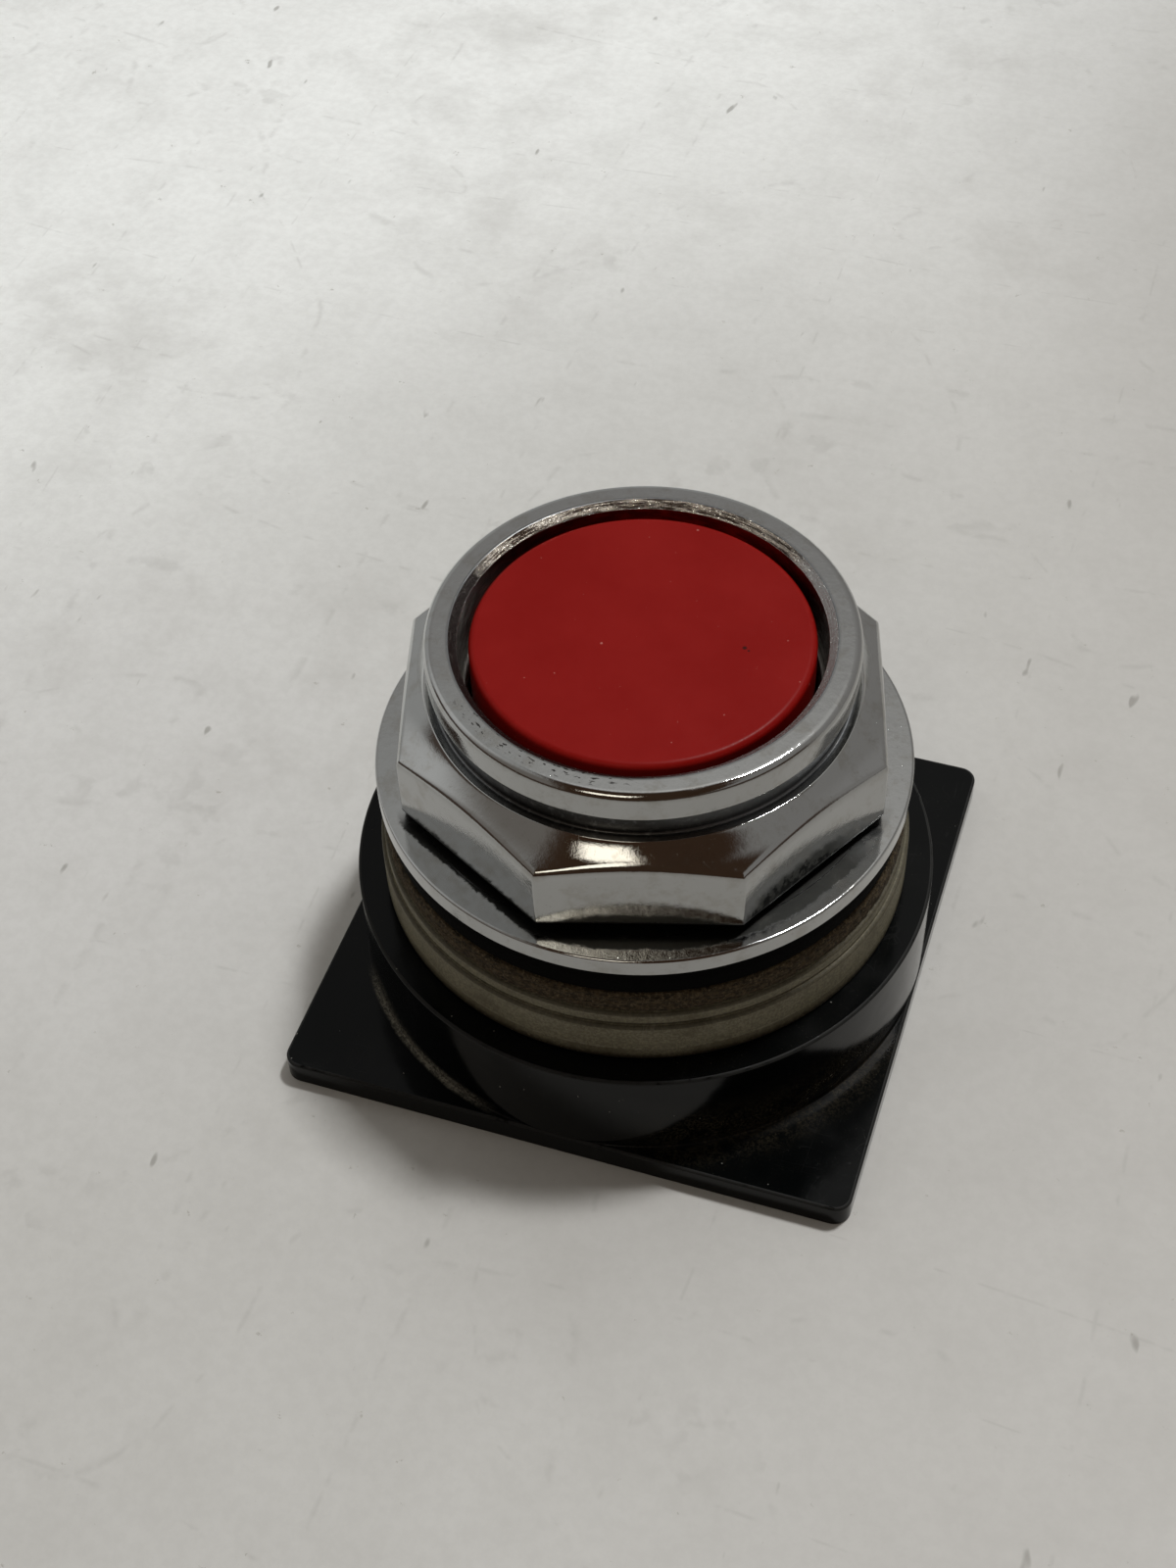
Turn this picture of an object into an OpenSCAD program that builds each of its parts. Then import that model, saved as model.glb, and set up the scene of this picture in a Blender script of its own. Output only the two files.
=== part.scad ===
// Flush stop pushbutton, the operator head that fits a 30.5 mm panel hole.
// Millimetres, +Z up. The origin is the centre of the base's underside.
// The head stands on its square base, and the button is pressed down along -Z.

/* [Base housing] */
// Side of the square base plate
base_side = 44.1; // [43.5:0.1:46]
// Thickness of the base plate
base_thickness = 2.1; // [1.8:0.1:3.4]
// Radius of the plate's corners
base_corner_radius = 1.3; // [0.8:0.1:3]
// Height of the round boss above the underside
boss_top = 10.3; // [9.5:0.1:12]
// Gap between the boss and the edge of the plate
boss_inset = 0.05; // [0.05:0.05:0.8]
// Radius along the boss's upper edge
boss_edge_radius = 0.4; // [0.2:0.1:0.8]

/* [Threaded bushing] */
// Thread diameter, over the crests
thread_diameter = 30; // [29.6:0.1:30]
// Thread pitch
thread_pitch = 1.5; // [1:0.25:2]
// How far the bushing's top stays below the nut's top
bushing_below_nut = 4.85; // [4.7:0.05:5.2]
// Diameter of the bore that holds the button cap
cap_bore_diameter = 24.9; // [24.8:0.1:25.2]
// Diameter of the open well in the underside
well_diameter = 25.2; // [24:0.1:25.4]

/* [Spacers and gaskets] */
// Hole in every spacer and gasket
gasket_hole = 30.5; // [30.3:0.1:31]
// Thick nylon spacer, outer diameter
thick_spacer_diameter = 39.8; // [38:0.1:41]
// Thick nylon spacer, height
thick_spacer_height = 3.8; // [3:0.1:4]
// Thin nylon spacer, outer diameter
thin_spacer_diameter = 39.2; // [38:0.1:41]
// Thin nylon spacer, height
thin_spacer_height = 1.2; // [1:0.1:1.5]
// Brown fibre gasket, outer diameter
fibre_gasket_diameter = 39.2; // [38:0.1:40]
// Brown fibre gasket, height
fibre_gasket_height = 1.95; // [1.5:0.05:2.2]
// Black rubber gasket, outer diameter
rubber_gasket_diameter = 38.6; // [37:0.1:39]
// Black rubber gasket, height
rubber_gasket_height = 2.8; // [2.5:0.05:3.2]

/* [Trim washer] */
// Outer diameter of the chromed washer
washer_diameter = 39.4; // [39:0.1:41]
// Thickness of the washer
washer_thickness = 1.5; // [1:0.05:1.8]
// Hole in the washer
washer_hole = 30.6; // [30.6:0.1:31]

/* [Ring nut] */
// Overall height of the nut
nut_height = 12; // [11.75:0.05:12.55]
// Size across the eight wrench flats
nut_across_flats = 34.2; // [34:0.1:36]
// Turn of the nut on its thread, as it is tightened
nut_turn_angle = -6.2; // [-22.5:0.1:22.5]
// Height of the round seat under the flats
nut_seat_height = 0.85; // [0.6:0.05:1.05]
// Diameter of the round collar at the top
collar_diameter = 30.6; // [30.2:0.1:31]
// Height of the collar's straight wall, with its rounded edge
collar_height = 2.35; // [2:0.05:2.5]
// Radius along the collar's upper edge
collar_edge_radius = 0.65; // [0.3:0.05:0.7]
// Diameter of the neck under the collar
neck_diameter = 29.6; // [29.2:0.1:30]
// Height of the neck
neck_height = 1.25; // [1:0.05:1.4]
// Radius of the hollow flare between neck and flats
flare_radius = 6.8; // [6.5:0.05:7.4]
// Diameter where the flare leaves the neck
flare_top_diameter = 30.4; // [30:0.1:30.8]
// Diameter of the collar's bore, round the cap
collar_bore = 25.8; // [25.4:0.1:26.4]
// Radial clearance of the nut's thread on the bushing
thread_clearance = 0.05; // [0.03:0.01:0.1]

/* [Button] */
// Diameter of the red cap
cap_diameter = 24.34; // [24:0.02:24.4]
// How far the cap's face lies below the nut's top
cap_below_nut = 0.45; // [0.3:0.05:1.5]
// Height of the cap, over its skirt
cap_height = 7.7; // [7.3:0.1:7.9]
// Radius along the edge of the cap's face
cap_edge_radius = 0.5; // [0.3:0.1:1.2]
// Wall of the cap's skirt
cap_wall = 1.87; // [1.7:0.01:1.9]
// Thickness of the cap under its face
cap_face = 2.6; // [2.3:0.1:2.7]
// Travel of the button, until its jam nut meets the guide bush
button_travel = 5.5; // [4:0.1:5.5]
// Diameter of the steel stem
stem_diameter = 6; // [5.8:0.1:6.2]
// Radial clearance of the stem in its guide bush
stem_clearance = 0.05; // [0.02:0.01:0.1]

/* [Return spring] */
// Wire diameter
spring_wire = 1; // [0.8:0.1:1]
// Mean diameter of the coils
spring_diameter = 15.7; // [15.6:0.1:15.8]
// Number of coils that work
spring_coils = 6; // [4:1:7]

/* [Contact block fixing] */
// Pitch circle of the four brass inserts
insert_pitch_circle = 36.4; // [36.2:0.1:36.6]
// Outer diameter of an insert
insert_diameter = 4.8; // [4:0.1:4.8]
// Bore of an insert, for an M3.5 screw
insert_bore = 2.9; // [2.5:0.1:3.2]
// Depth of an insert
insert_depth = 6.5; // [5:0.1:7]

/* [Hidden] */
$fn = 96;
overlap = 1;                 // how far a cutting tool runs past the face it opens

// Heights of the stack, from the boss up to the nut
thin_spacer_z = boss_top + thick_spacer_height;
fibre_gasket_z = thin_spacer_z + thin_spacer_height;
rubber_gasket_z = fibre_gasket_z + fibre_gasket_height;
washer_z = rubber_gasket_z + rubber_gasket_height;
nut_z = washer_z + washer_thickness;
nut_top = nut_z + nut_height;
cap_top = nut_top - cap_below_nut;
cap_bottom = cap_top - cap_height;
bushing_top = nut_top - bushing_below_nut;

// Radii that more than one piece shares
boss_radius = base_side / 2 - boss_inset;
thread_radius = thread_diameter / 2;
thread_depth = 0.6134 * thread_pitch;
cap_radius = cap_diameter / 2;
cap_bore_radius = cap_bore_diameter / 2;
well_radius = well_diameter / 2;
stem_radius = stem_diameter / 2;
stem_end_radius = 2.5;       // M5 ends of the stem

// Bushing: moulded into the boss, with a groove that the moulding grips
bushing_foot = 3.5;
anchor_groove = [5, 7];      // from and to
anchor_radius = thread_radius - 0.8;
web_z = boss_top + 0.2;
web_thickness = 3;
web_top = web_z + web_thickness;
bush_radius = 5;
bush_flange_radius = 6.5;
bush_flange_height = 1;
stop_gap = 0.1;              // left above the bush's collar at full travel
o_ring_groove = [web_z + 1.05, web_z + 2.55];
o_ring_groove_radius = stem_radius + 1.5;
o_ring_section = (o_ring_groove_radius - stem_radius - stem_clearance) / 2 - 0.005;

// Wiper seal in a groove near the bushing's top
wiper_z = bushing_top - 3.2;
wiper_height = 1.8;
wiper_outer_radius = 13.4;
wiper_clearance = 0.06;

// Boot and spring, between the web and the cap
cavity_radius = cap_radius - cap_wall;
cap_ceiling = cap_top - cap_face;
boot_flange_height = 0.6;
boot_flange_radius = 12.2;
boot_hole_radius = 6.7;
boot_mean_radius = 9.38;
boot_wave = 0.37;
boot_wall = 0.2;             // each side of the bellows' middle line
boot_folds = 6;
boot_bead_height = 0.7;
spring_seat_height = 0.6;
spring_seat_radius = 8.6;
spring_seat_top = web_top + boot_flange_height + spring_seat_height;
spring_steps = 12;           // rings of points in one coil
spring_sides = 8;

// Stem and what it carries
post_radius = 6.5;
post_depth = 4.1;
insert_in_cap_radius = 4.6;
insert_in_cap_z = cap_ceiling - post_depth;
insert_in_cap_height = 4.5;
stem_thread_top = insert_in_cap_z + 4;
jam_nut_height = 2.7;
jam_nut_across_flats = 8;
jam_nut_z = insert_in_cap_z - jam_nut_height;
bush_top = jam_nut_z - button_travel - stop_gap;
disc_gap = 0.1;              // between the disc and the web, at rest
disc_thickness = 2.4;
disc_radius = 11.5;
disc_rim_depth = 0.6;
disc_rim_width = 1.5;
disc_top = web_z - disc_gap;
disc_bottom = disc_top - disc_thickness;
clip_thickness = 0.8;
clip_radius = 4.6;
clip_groove_radius = 2;
clip_slot = 2.6;
clip_z = disc_bottom - clip_thickness;
stem_foot = clip_z - 1.3;

// Nut: the flare is an arc that starts at the neck and falls outward
nut_radius = nut_across_flats / 2 / cos(22.5);
collar_radius = collar_diameter / 2;
neck_radius = neck_diameter / 2;
flare_top_radius = flare_top_diameter / 2;
flare_start_angle = 220;
flare_end_angle = 258;
flare_steps = 9;
lip_chamfer = 0.6;
lip_depth = 0.7;
thread_bore_top = bushing_top + 0.1;
collar_bottom = nut_top - collar_height;
neck_bottom = collar_bottom - neck_height;
flare_top = neck_bottom - 0.2;
thread_entry = 0.5;

function arc(centre, radius, from, to, steps) =
    [for (i = [0 : steps])
        centre + radius * [cos(from + (to - from) * i / steps), sin(from + (to - from) * i / steps)]];

// A plain ring, standing at height z
module ring(outer, hole, z, height) {
    translate([0, 0, z])
        difference() {
            cylinder(r = outer, h = height);
            translate([0, 0, -overlap]) cylinder(r = hole, h = height + 2 * overlap);
        }
}

// A ring whose outer edges are eased by a small chamfer
module eased_ring(outer, hole, z, height, ease) {
    rotate_extrude()
        polygon([
            [hole, z], [outer - ease, z], [outer, z + ease],
            [outer, z + height - ease], [outer - ease, z + height], [hole, z + height]
        ]);
}

// A square with round corners, from two bars and four discs
module rounded_square(side, radius) {
    square([side, side - 2 * radius], center = true);
    square([side - 2 * radius, side], center = true);
    for (x = [-1, 1], y = [-1, 1])
        translate([x, y] * (side / 2 - radius)) circle(r = radius);
}

// Places its child at each of the four inserts
module at_inserts() {
    for (quarter = [0 : 3])
        rotate(45 + 90 * quarter) translate([insert_pitch_circle / 2, 0, 0]) children();
}

// The space that the bushing fills inside the moulded boss
module bushing_socket() {
    rotate_extrude()
        polygon([
            [0, bushing_foot], [thread_radius, bushing_foot],
            [thread_radius, anchor_groove[0]], [anchor_radius, anchor_groove[0]],
            [anchor_radius, anchor_groove[1]], [thread_radius, anchor_groove[1]],
            [thread_radius, boss_top + overlap], [0, boss_top + overlap]
        ]);
}

module housing() {
    color([0.05, 0.05, 0.055])
        difference() {
            union() {
                linear_extrude(base_thickness) rounded_square(base_side, base_corner_radius);
                rotate_extrude()
                    polygon(concat(
                        [[0, 0], [boss_radius, 0]],
                        arc([boss_radius - boss_edge_radius, boss_top - boss_edge_radius],
                            boss_edge_radius, 0, 90, 5),
                        [[0, boss_top]]
                    ));
            }
            bushing_socket();
            translate([0, 0, -overlap]) cylinder(r = well_radius, h = bushing_foot + 2 * overlap);
            translate([0, 0, -overlap])
                at_inserts() cylinder(d = insert_diameter, h = insert_depth + overlap);
        }
}

module contact_block_inserts() {
    color([0.78, 0.62, 0.3])
        at_inserts() ring(insert_diameter / 2, insert_bore / 2, 0, insert_depth);
}

// The thread is cut as level rings of one pitch, with flat crests and sharp roots
module threaded_bushing() {
    crest = thread_pitch / 4;
    turns = floor((bushing_top - boss_top - thread_pitch / 2) / thread_pitch);
    threads = [
        for (i = [0 : turns - 1], p = [[0, 0], [crest, 0], [(crest + thread_pitch) / 2, -thread_depth]])
            [thread_radius + p[1], boss_top + i * thread_pitch + p[0]]
    ];
    thread_end = boss_top + turns * thread_pitch;
    color([0.62, 0.6, 0.56])
        difference() {
            rotate_extrude()
                polygon(concat(
                    [[0, bushing_foot], [thread_radius, bushing_foot],
                     [thread_radius, anchor_groove[0]], [anchor_radius, anchor_groove[0]],
                     [anchor_radius, anchor_groove[1]], [thread_radius, anchor_groove[1]]],
                    threads,
                    [[thread_radius, thread_end], [thread_radius - 0.5, bushing_top], [0, bushing_top]]
                ));
            translate([0, 0, bushing_foot - overlap])
                cylinder(r = well_radius, h = web_z - bushing_foot + overlap);
            translate([0, 0, web_z - overlap]) cylinder(r = bush_radius, h = web_thickness + 2 * overlap);
            translate([0, 0, web_top]) cylinder(r = cap_bore_radius, h = bushing_top - web_top + overlap);
            translate([0, 0, wiper_z]) cylinder(r = wiper_outer_radius, h = wiper_height);
        }
}

module guide_bush() {
    color([0.8, 0.64, 0.32])
        difference() {
            union() {
                translate([0, 0, web_z]) cylinder(r = bush_radius, h = bush_top - web_z);
                translate([0, 0, web_top]) cylinder(r = bush_flange_radius, h = bush_flange_height);
            }
            translate([0, 0, web_z - overlap])
                cylinder(r = stem_radius + stem_clearance, h = bush_top - web_z + 2 * overlap);
            translate([0, 0, o_ring_groove[0]])
                cylinder(r = o_ring_groove_radius, h = o_ring_groove[1] - o_ring_groove[0]);
        }
}

module stem_o_ring() {
    color([0.08, 0.08, 0.08])
        translate([0, 0, (o_ring_groove[0] + o_ring_groove[1]) / 2])
            rotate_extrude()
                translate([stem_radius + stem_clearance + o_ring_section, 0])
                    circle(r = o_ring_section, $fn = 24);
}

module thick_spacer() {
    color([0.62, 0.6, 0.5])
        eased_ring(thick_spacer_diameter / 2, gasket_hole / 2, boss_top, thick_spacer_height, 0.2);
}

module thin_spacer() {
    color([0.66, 0.64, 0.54])
        eased_ring(thin_spacer_diameter / 2, gasket_hole / 2, thin_spacer_z, thin_spacer_height, 0.15);
}

module fibre_gasket() {
    color([0.34, 0.27, 0.17])
        ring(fibre_gasket_diameter / 2, gasket_hole / 2, fibre_gasket_z, fibre_gasket_height);
}

module rubber_gasket() {
    color([0.06, 0.06, 0.06])
        ring(rubber_gasket_diameter / 2, gasket_hole / 2, rubber_gasket_z, rubber_gasket_height);
}

module trim_washer() {
    color([0.78, 0.79, 0.8])
        eased_ring(washer_diameter / 2, washer_hole / 2, washer_z, washer_thickness, 0.25);
}

// Outline of the nut from its axis outward, with the flats still uncut
module nut_profile() {
    seat_radius = neck_radius + 1.6;
    edge_centre = [collar_radius - collar_edge_radius, nut_top - collar_edge_radius];
    flare_centre = [flare_top_radius, flare_top]
        - flare_radius * [cos(flare_start_angle), sin(flare_start_angle)];
    flare = arc(flare_centre, flare_radius, flare_end_angle, flare_start_angle, flare_steps);
    polygon(concat(
        [[0, nut_z], [seat_radius, nut_z], [seat_radius, nut_z + nut_seat_height],
         [flare[0][0], nut_z + nut_seat_height]],
        flare,
        [[neck_radius + 0.1, neck_bottom], [neck_radius, neck_bottom + 0.25],
         [neck_radius, collar_bottom - 0.2], [collar_radius, collar_bottom]],
        arc(edge_centre, collar_edge_radius, 0, 90, 5),
        [[0, nut_top]]
    ));
}

// What the nut leaves open: the threaded bore, the collar's bore and its chamfered lip
module nut_bores() {
    thread_bore = thread_radius + thread_clearance;
    bore = collar_bore / 2;
    translate([0, 0, nut_z - overlap]) cylinder(r = thread_bore, h = thread_bore_top - nut_z + overlap);
    translate([0, 0, nut_z - overlap]) cylinder(r = bore, h = nut_height + 2 * overlap);
    translate([0, 0, nut_top - lip_depth])
        cylinder(r1 = bore, r2 = bore + lip_chamfer * (1 + overlap / lip_depth), h = lip_depth + overlap);
    translate([0, 0, nut_z - overlap])
        cylinder(r1 = thread_bore + thread_entry + overlap, r2 = thread_bore, h = thread_entry + overlap);
}

module ring_nut() {
    color([0.8, 0.81, 0.82])
        rotate(nut_turn_angle)
            difference() {
                intersection() {
                    rotate_extrude() nut_profile();
                    translate([0, 0, nut_z - overlap])
                        cylinder(r = nut_radius, h = nut_height + 2 * overlap, $fn = 8);
                }
                nut_bores();
            }
}

module wiper_seal() {
    color([0.07, 0.07, 0.07])
        rotate_extrude()
            polygon([
                [wiper_outer_radius, wiper_z], [wiper_outer_radius, wiper_z + wiper_height],
                [cap_bore_radius, wiper_z + wiper_height],
                [cap_radius + wiper_clearance, wiper_z + 0.7 * wiper_height],
                [cap_radius + wiper_clearance, wiper_z + 0.4 * wiper_height],
                [cap_bore_radius, wiper_z]
            ]);
}

// Bellows: a foot ring under the spring seat, a zigzag wall and a bead under the cap's face
module dust_boot() {
    foot_top = web_top + boot_flange_height;
    bead_bottom = cap_ceiling - boot_bead_height;
    steps = 2 * boot_folds;
    middle = [
        for (i = [0 : steps])
            [boot_mean_radius + (i % 2 == 0 ? -boot_wave : boot_wave),
             foot_top + (bead_bottom - foot_top) * i / steps]
    ];
    color([0.12, 0.12, 0.12])
        rotate_extrude()
            polygon(concat(
                [[boot_hole_radius, web_top], [boot_flange_radius, web_top],
                 [boot_flange_radius, foot_top]],
                [for (i = [0 : steps]) middle[i] + [boot_wall, 0]],
                [[cavity_radius, bead_bottom], [cavity_radius, cap_ceiling],
                 [boot_mean_radius - boot_wave - boot_wall, cap_ceiling]],
                [for (i = [steps : -1 : 0]) middle[i] - [boot_wall, 0]],
                [[boot_hole_radius, foot_top]]
            ));
}

module spring_seat() {
    color([0.7, 0.7, 0.7])
        ring(spring_seat_radius, boot_hole_radius, web_top + boot_flange_height, spring_seat_height);
}

// The wire's centre line rises one wire in each end coil and evenly in the coils that work
function spring_height(coil, low, high) =
    let (working = spring_coils, rise = high - low - 2 * spring_wire)
    coil < 1 ? low + spring_wire * coil
    : coil < 1 + working ? low + spring_wire + rise * (coil - 1) / working
    : high - spring_wire * (2 + working - coil);

module return_spring() {
    low = spring_seat_top + spring_wire / 2;
    high = cap_ceiling - spring_wire / 2;
    rings = (spring_coils + 2) * spring_steps;
    points = [
        for (i = [0 : rings], j = [0 : spring_sides - 1])
            let (
                turn = 360 * i / spring_steps,
                side = 360 * j / spring_sides,
                reach = spring_diameter / 2 + spring_wire / 2 * cos(side)
            )
            [reach * cos(turn), reach * sin(turn),
             spring_height(i / spring_steps, low, high) + spring_wire / 2 * sin(side)]
    ];
    walls = [
        for (i = [0 : rings - 1], j = [0 : spring_sides - 1])
            let (a = i * spring_sides + j, b = i * spring_sides + (j + 1) % spring_sides)
            [a, a + spring_sides, b + spring_sides, b]
    ];
    first_end = [for (j = [0 : spring_sides - 1]) j];
    last_end = [for (j = [spring_sides - 1 : -1 : 0]) rings * spring_sides + j];
    color([0.66, 0.67, 0.68])
        polyhedron(points = points, faces = concat(walls, [first_end, last_end]), convexity = 10);
}

module button_cap() {
    color([0.5, 0.11, 0.1])
        difference() {
            rotate_extrude()
                polygon(concat(
                    [[0, cap_bottom], [cap_radius, cap_bottom]],
                    arc([cap_radius - cap_edge_radius, cap_top - cap_edge_radius],
                        cap_edge_radius, 0, 90, 8),
                    [[0, cap_top]]
                ));
            ring(cavity_radius, post_radius, cap_bottom - overlap, cap_ceiling - cap_bottom + overlap);
            translate([0, 0, cap_bottom - overlap])
                cylinder(r = post_radius + 0.2, h = insert_in_cap_z - cap_bottom + overlap);
            translate([0, 0, insert_in_cap_z - overlap])
                cylinder(r = insert_in_cap_radius, h = insert_in_cap_height + overlap);
        }
}

module cap_insert() {
    color([0.8, 0.64, 0.32])
        difference() {
            translate([0, 0, insert_in_cap_z])
                cylinder(r = insert_in_cap_radius, h = insert_in_cap_height);
            translate([0, 0, insert_in_cap_z - overlap])
                cylinder(r = stem_end_radius, h = stem_thread_top + 0.1 - insert_in_cap_z + overlap);
        }
}

module jam_nut() {
    color([0.7, 0.71, 0.72])
        translate([0, 0, jam_nut_z])
            difference() {
                cylinder(r = jam_nut_across_flats / 2 / cos(30), h = jam_nut_height, $fn = 6);
                translate([0, 0, -overlap])
                    cylinder(r = stem_end_radius, h = jam_nut_height + 2 * overlap);
            }
}

module plunger_stem() {
    color([0.72, 0.73, 0.74])
        rotate_extrude()
            polygon([
                [0, stem_foot], [stem_end_radius - 0.4, stem_foot], [stem_end_radius, stem_foot + 0.4],
                [stem_end_radius, clip_z], [clip_groove_radius, clip_z],
                [clip_groove_radius, clip_z + clip_thickness], [stem_end_radius, clip_z + clip_thickness],
                [stem_end_radius, disc_top], [stem_radius, disc_top],
                [stem_radius, jam_nut_z], [stem_end_radius, jam_nut_z],
                [stem_end_radius, stem_thread_top], [0, stem_thread_top]
            ]);
}

module actuator_disc() {
    color([0.86, 0.85, 0.8])
        difference() {
            translate([0, 0, disc_bottom - disc_rim_depth])
                cylinder(r = disc_radius, h = disc_thickness + disc_rim_depth);
            translate([0, 0, disc_bottom - disc_rim_depth - overlap])
                cylinder(r = disc_radius - disc_rim_width, h = disc_rim_depth + overlap);
            translate([0, 0, disc_bottom - overlap])
                cylinder(r = stem_end_radius, h = disc_thickness + 2 * overlap);
        }
}

module disc_clip() {
    color([0.3, 0.31, 0.33])
        translate([0, 0, clip_z])
            difference() {
                cylinder(r = clip_radius, h = clip_thickness);
                translate([0, 0, -overlap])
                    cylinder(r = clip_groove_radius, h = clip_thickness + 2 * overlap);
                translate([0, -clip_slot / 2, -overlap])
                    cube([clip_radius + overlap, clip_slot, clip_thickness + 2 * overlap]);
            }
}

housing();
contact_block_inserts();
threaded_bushing();
guide_bush();
stem_o_ring();
thick_spacer();
thin_spacer();
fibre_gasket();
rubber_gasket();
trim_washer();
ring_nut();
wiper_seal();
dust_boot();
spring_seat();
return_spring();
button_cap();
cap_insert();
jam_nut();
plunger_stem();
actuator_disc();
disc_clip();
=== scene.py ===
"""Flush stop pushbutton for a 30.5 mm panel hole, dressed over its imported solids.

The pieces are sized in millimetres."""

import math

import bmesh
import bpy
import numpy as np
from mathutils import Matrix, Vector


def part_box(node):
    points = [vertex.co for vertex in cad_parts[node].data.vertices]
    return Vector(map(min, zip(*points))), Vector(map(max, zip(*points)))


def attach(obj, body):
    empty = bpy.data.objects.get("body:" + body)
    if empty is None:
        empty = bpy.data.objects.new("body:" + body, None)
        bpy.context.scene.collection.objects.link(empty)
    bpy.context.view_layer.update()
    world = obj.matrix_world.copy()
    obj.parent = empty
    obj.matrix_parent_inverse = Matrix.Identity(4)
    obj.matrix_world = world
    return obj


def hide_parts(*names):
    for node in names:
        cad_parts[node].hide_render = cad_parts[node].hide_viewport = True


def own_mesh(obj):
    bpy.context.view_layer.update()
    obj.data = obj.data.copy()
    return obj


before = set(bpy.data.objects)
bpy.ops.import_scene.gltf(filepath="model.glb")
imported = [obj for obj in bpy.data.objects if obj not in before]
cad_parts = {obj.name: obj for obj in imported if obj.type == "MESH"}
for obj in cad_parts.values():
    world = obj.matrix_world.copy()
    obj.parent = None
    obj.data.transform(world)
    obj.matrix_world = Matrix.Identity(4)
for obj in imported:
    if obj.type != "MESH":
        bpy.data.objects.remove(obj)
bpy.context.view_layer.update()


# Camera. It looks down on the head from the front right, at 49 degrees above the table and from 0.19 metres
# away.
def new_object(name, data):
    """An object for a mesh, lamp or camera, in the scene."""
    made = bpy.data.objects.new(name, data)
    bpy.context.scene.collection.objects.link(made)
    return made


def stand_at(thing, axes, spot):
    """Puts a lamp or camera at a spot in metres, with its own X, Y and Z along the columns of axes."""
    thing.matrix_world = Matrix([[*axes[row], spot[row]] for row in range(3)] + [[0, 0, 0, 1]])


def turn_about(axis, degrees):
    """The 3 by 3 matrix that turns by an angle about X (axis 0) or Z (axis 2)."""
    c, s = math.cos(math.radians(degrees)), math.sin(math.radians(degrees))
    about_x, about_z = [[1, 0, 0], [0, c, -s], [0, s, c]], [[c, -s, 0], [s, c, 0], [0, 0, 1]]
    return np.array(about_x if axis == 0 else about_z)


camera_data = bpy.data.cameras.new("camera")
camera_data.sensor_width = 36
camera_data.lens = 54.11
camera_data.clip_start = 0.01
camera = new_object("camera", camera_data)
camera.rotation_mode = "QUATERNION"
camera_turn, camera_tilt, camera_roll = 19.88878, 40.89695, -2.20705
base_from_camera = np.array([0.00462949, -0.01132171, -0.18881317])
aim = turn_about(2, camera_turn) @ turn_about(0, camera_tilt) @ turn_about(2, camera_roll)
stand_at(camera, aim, -aim @ base_from_camera)
bpy.context.scene.camera = camera


# Base housing. One black phenolic moulding: a square plate with a round boss whose wall meets the plate's
# sides. It is glossy from the mould, with scuffs, rubbed edges and workshop dust round the boss's foot.
# Four blind holes in the underside take the brass inserts.
def box_mm(node):
    """Lowest and highest corner of a solid, in millimetres."""
    low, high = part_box(node)
    return np.array(low) * 1000, np.array(high) * 1000


def full_turn(steps):
    """Angles all the way round the axis."""
    return np.linspace(0, 2 * np.pi, steps, endpoint=False)


def soften(corners, radii, steps=6):
    """Rounds an outline's corners. Each corner with a radius becomes an arc tangent to both its sides, with
    one more point just past each end, which keeps the flats beside it flat. Returns the points, and for each
    one 1 on an outer edge, -1 in an inner corner and 0 elsewhere. The solid lies on the outline's left."""
    corners = np.asarray(corners, float)
    points, edges = [], []
    for i, radius in enumerate(radii):
        here = corners[i]
        back, on = corners[i - 1] - here, corners[(i + 1) % len(corners)] - here
        if radius == 0:
            points.append(here[None])
            edges.append([0.0])
            continue
        reach = np.hypot(*back), np.hypot(*on)
        back, on = back / reach[0], on / reach[1]
        half = math.acos(np.clip(back @ on, -1, 1)) / 2
        cut = min(radius / math.tan(half), 0.42 * min(reach))
        radius = cut * math.tan(half)
        centre = here + (back + on) / np.hypot(*(back + on)) * radius / math.sin(half)
        first, last = here + back * cut - centre, here + on * cut - centre
        start = math.atan2(first[1], first[0])
        sweep = (math.atan2(last[1], last[0]) - start + math.pi) % (2 * math.pi) - math.pi
        a = start + sweep * np.linspace(0, 1, steps + 1)
        arc = centre + radius * np.stack([np.cos(a), np.sin(a)], 1)
        points += [(here + back * cut * 1.15)[None], arc, (here + on * cut * 1.15)[None]]
        edges += [[0.0], [1.0 if sweep > 0 else -1.0] * (steps + 1), [0.0]]
    return np.concatenate(points), np.concatenate(edges)


def all_round(angle, *rows):
    """Rows of radius or height, one set after the other, with a column for each angle."""
    tall = [row if np.ndim(row) == 2 else np.reshape(row, (-1, 1)) for row in rows]
    return np.concatenate([row + 0 * angle for row in tall])


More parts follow.
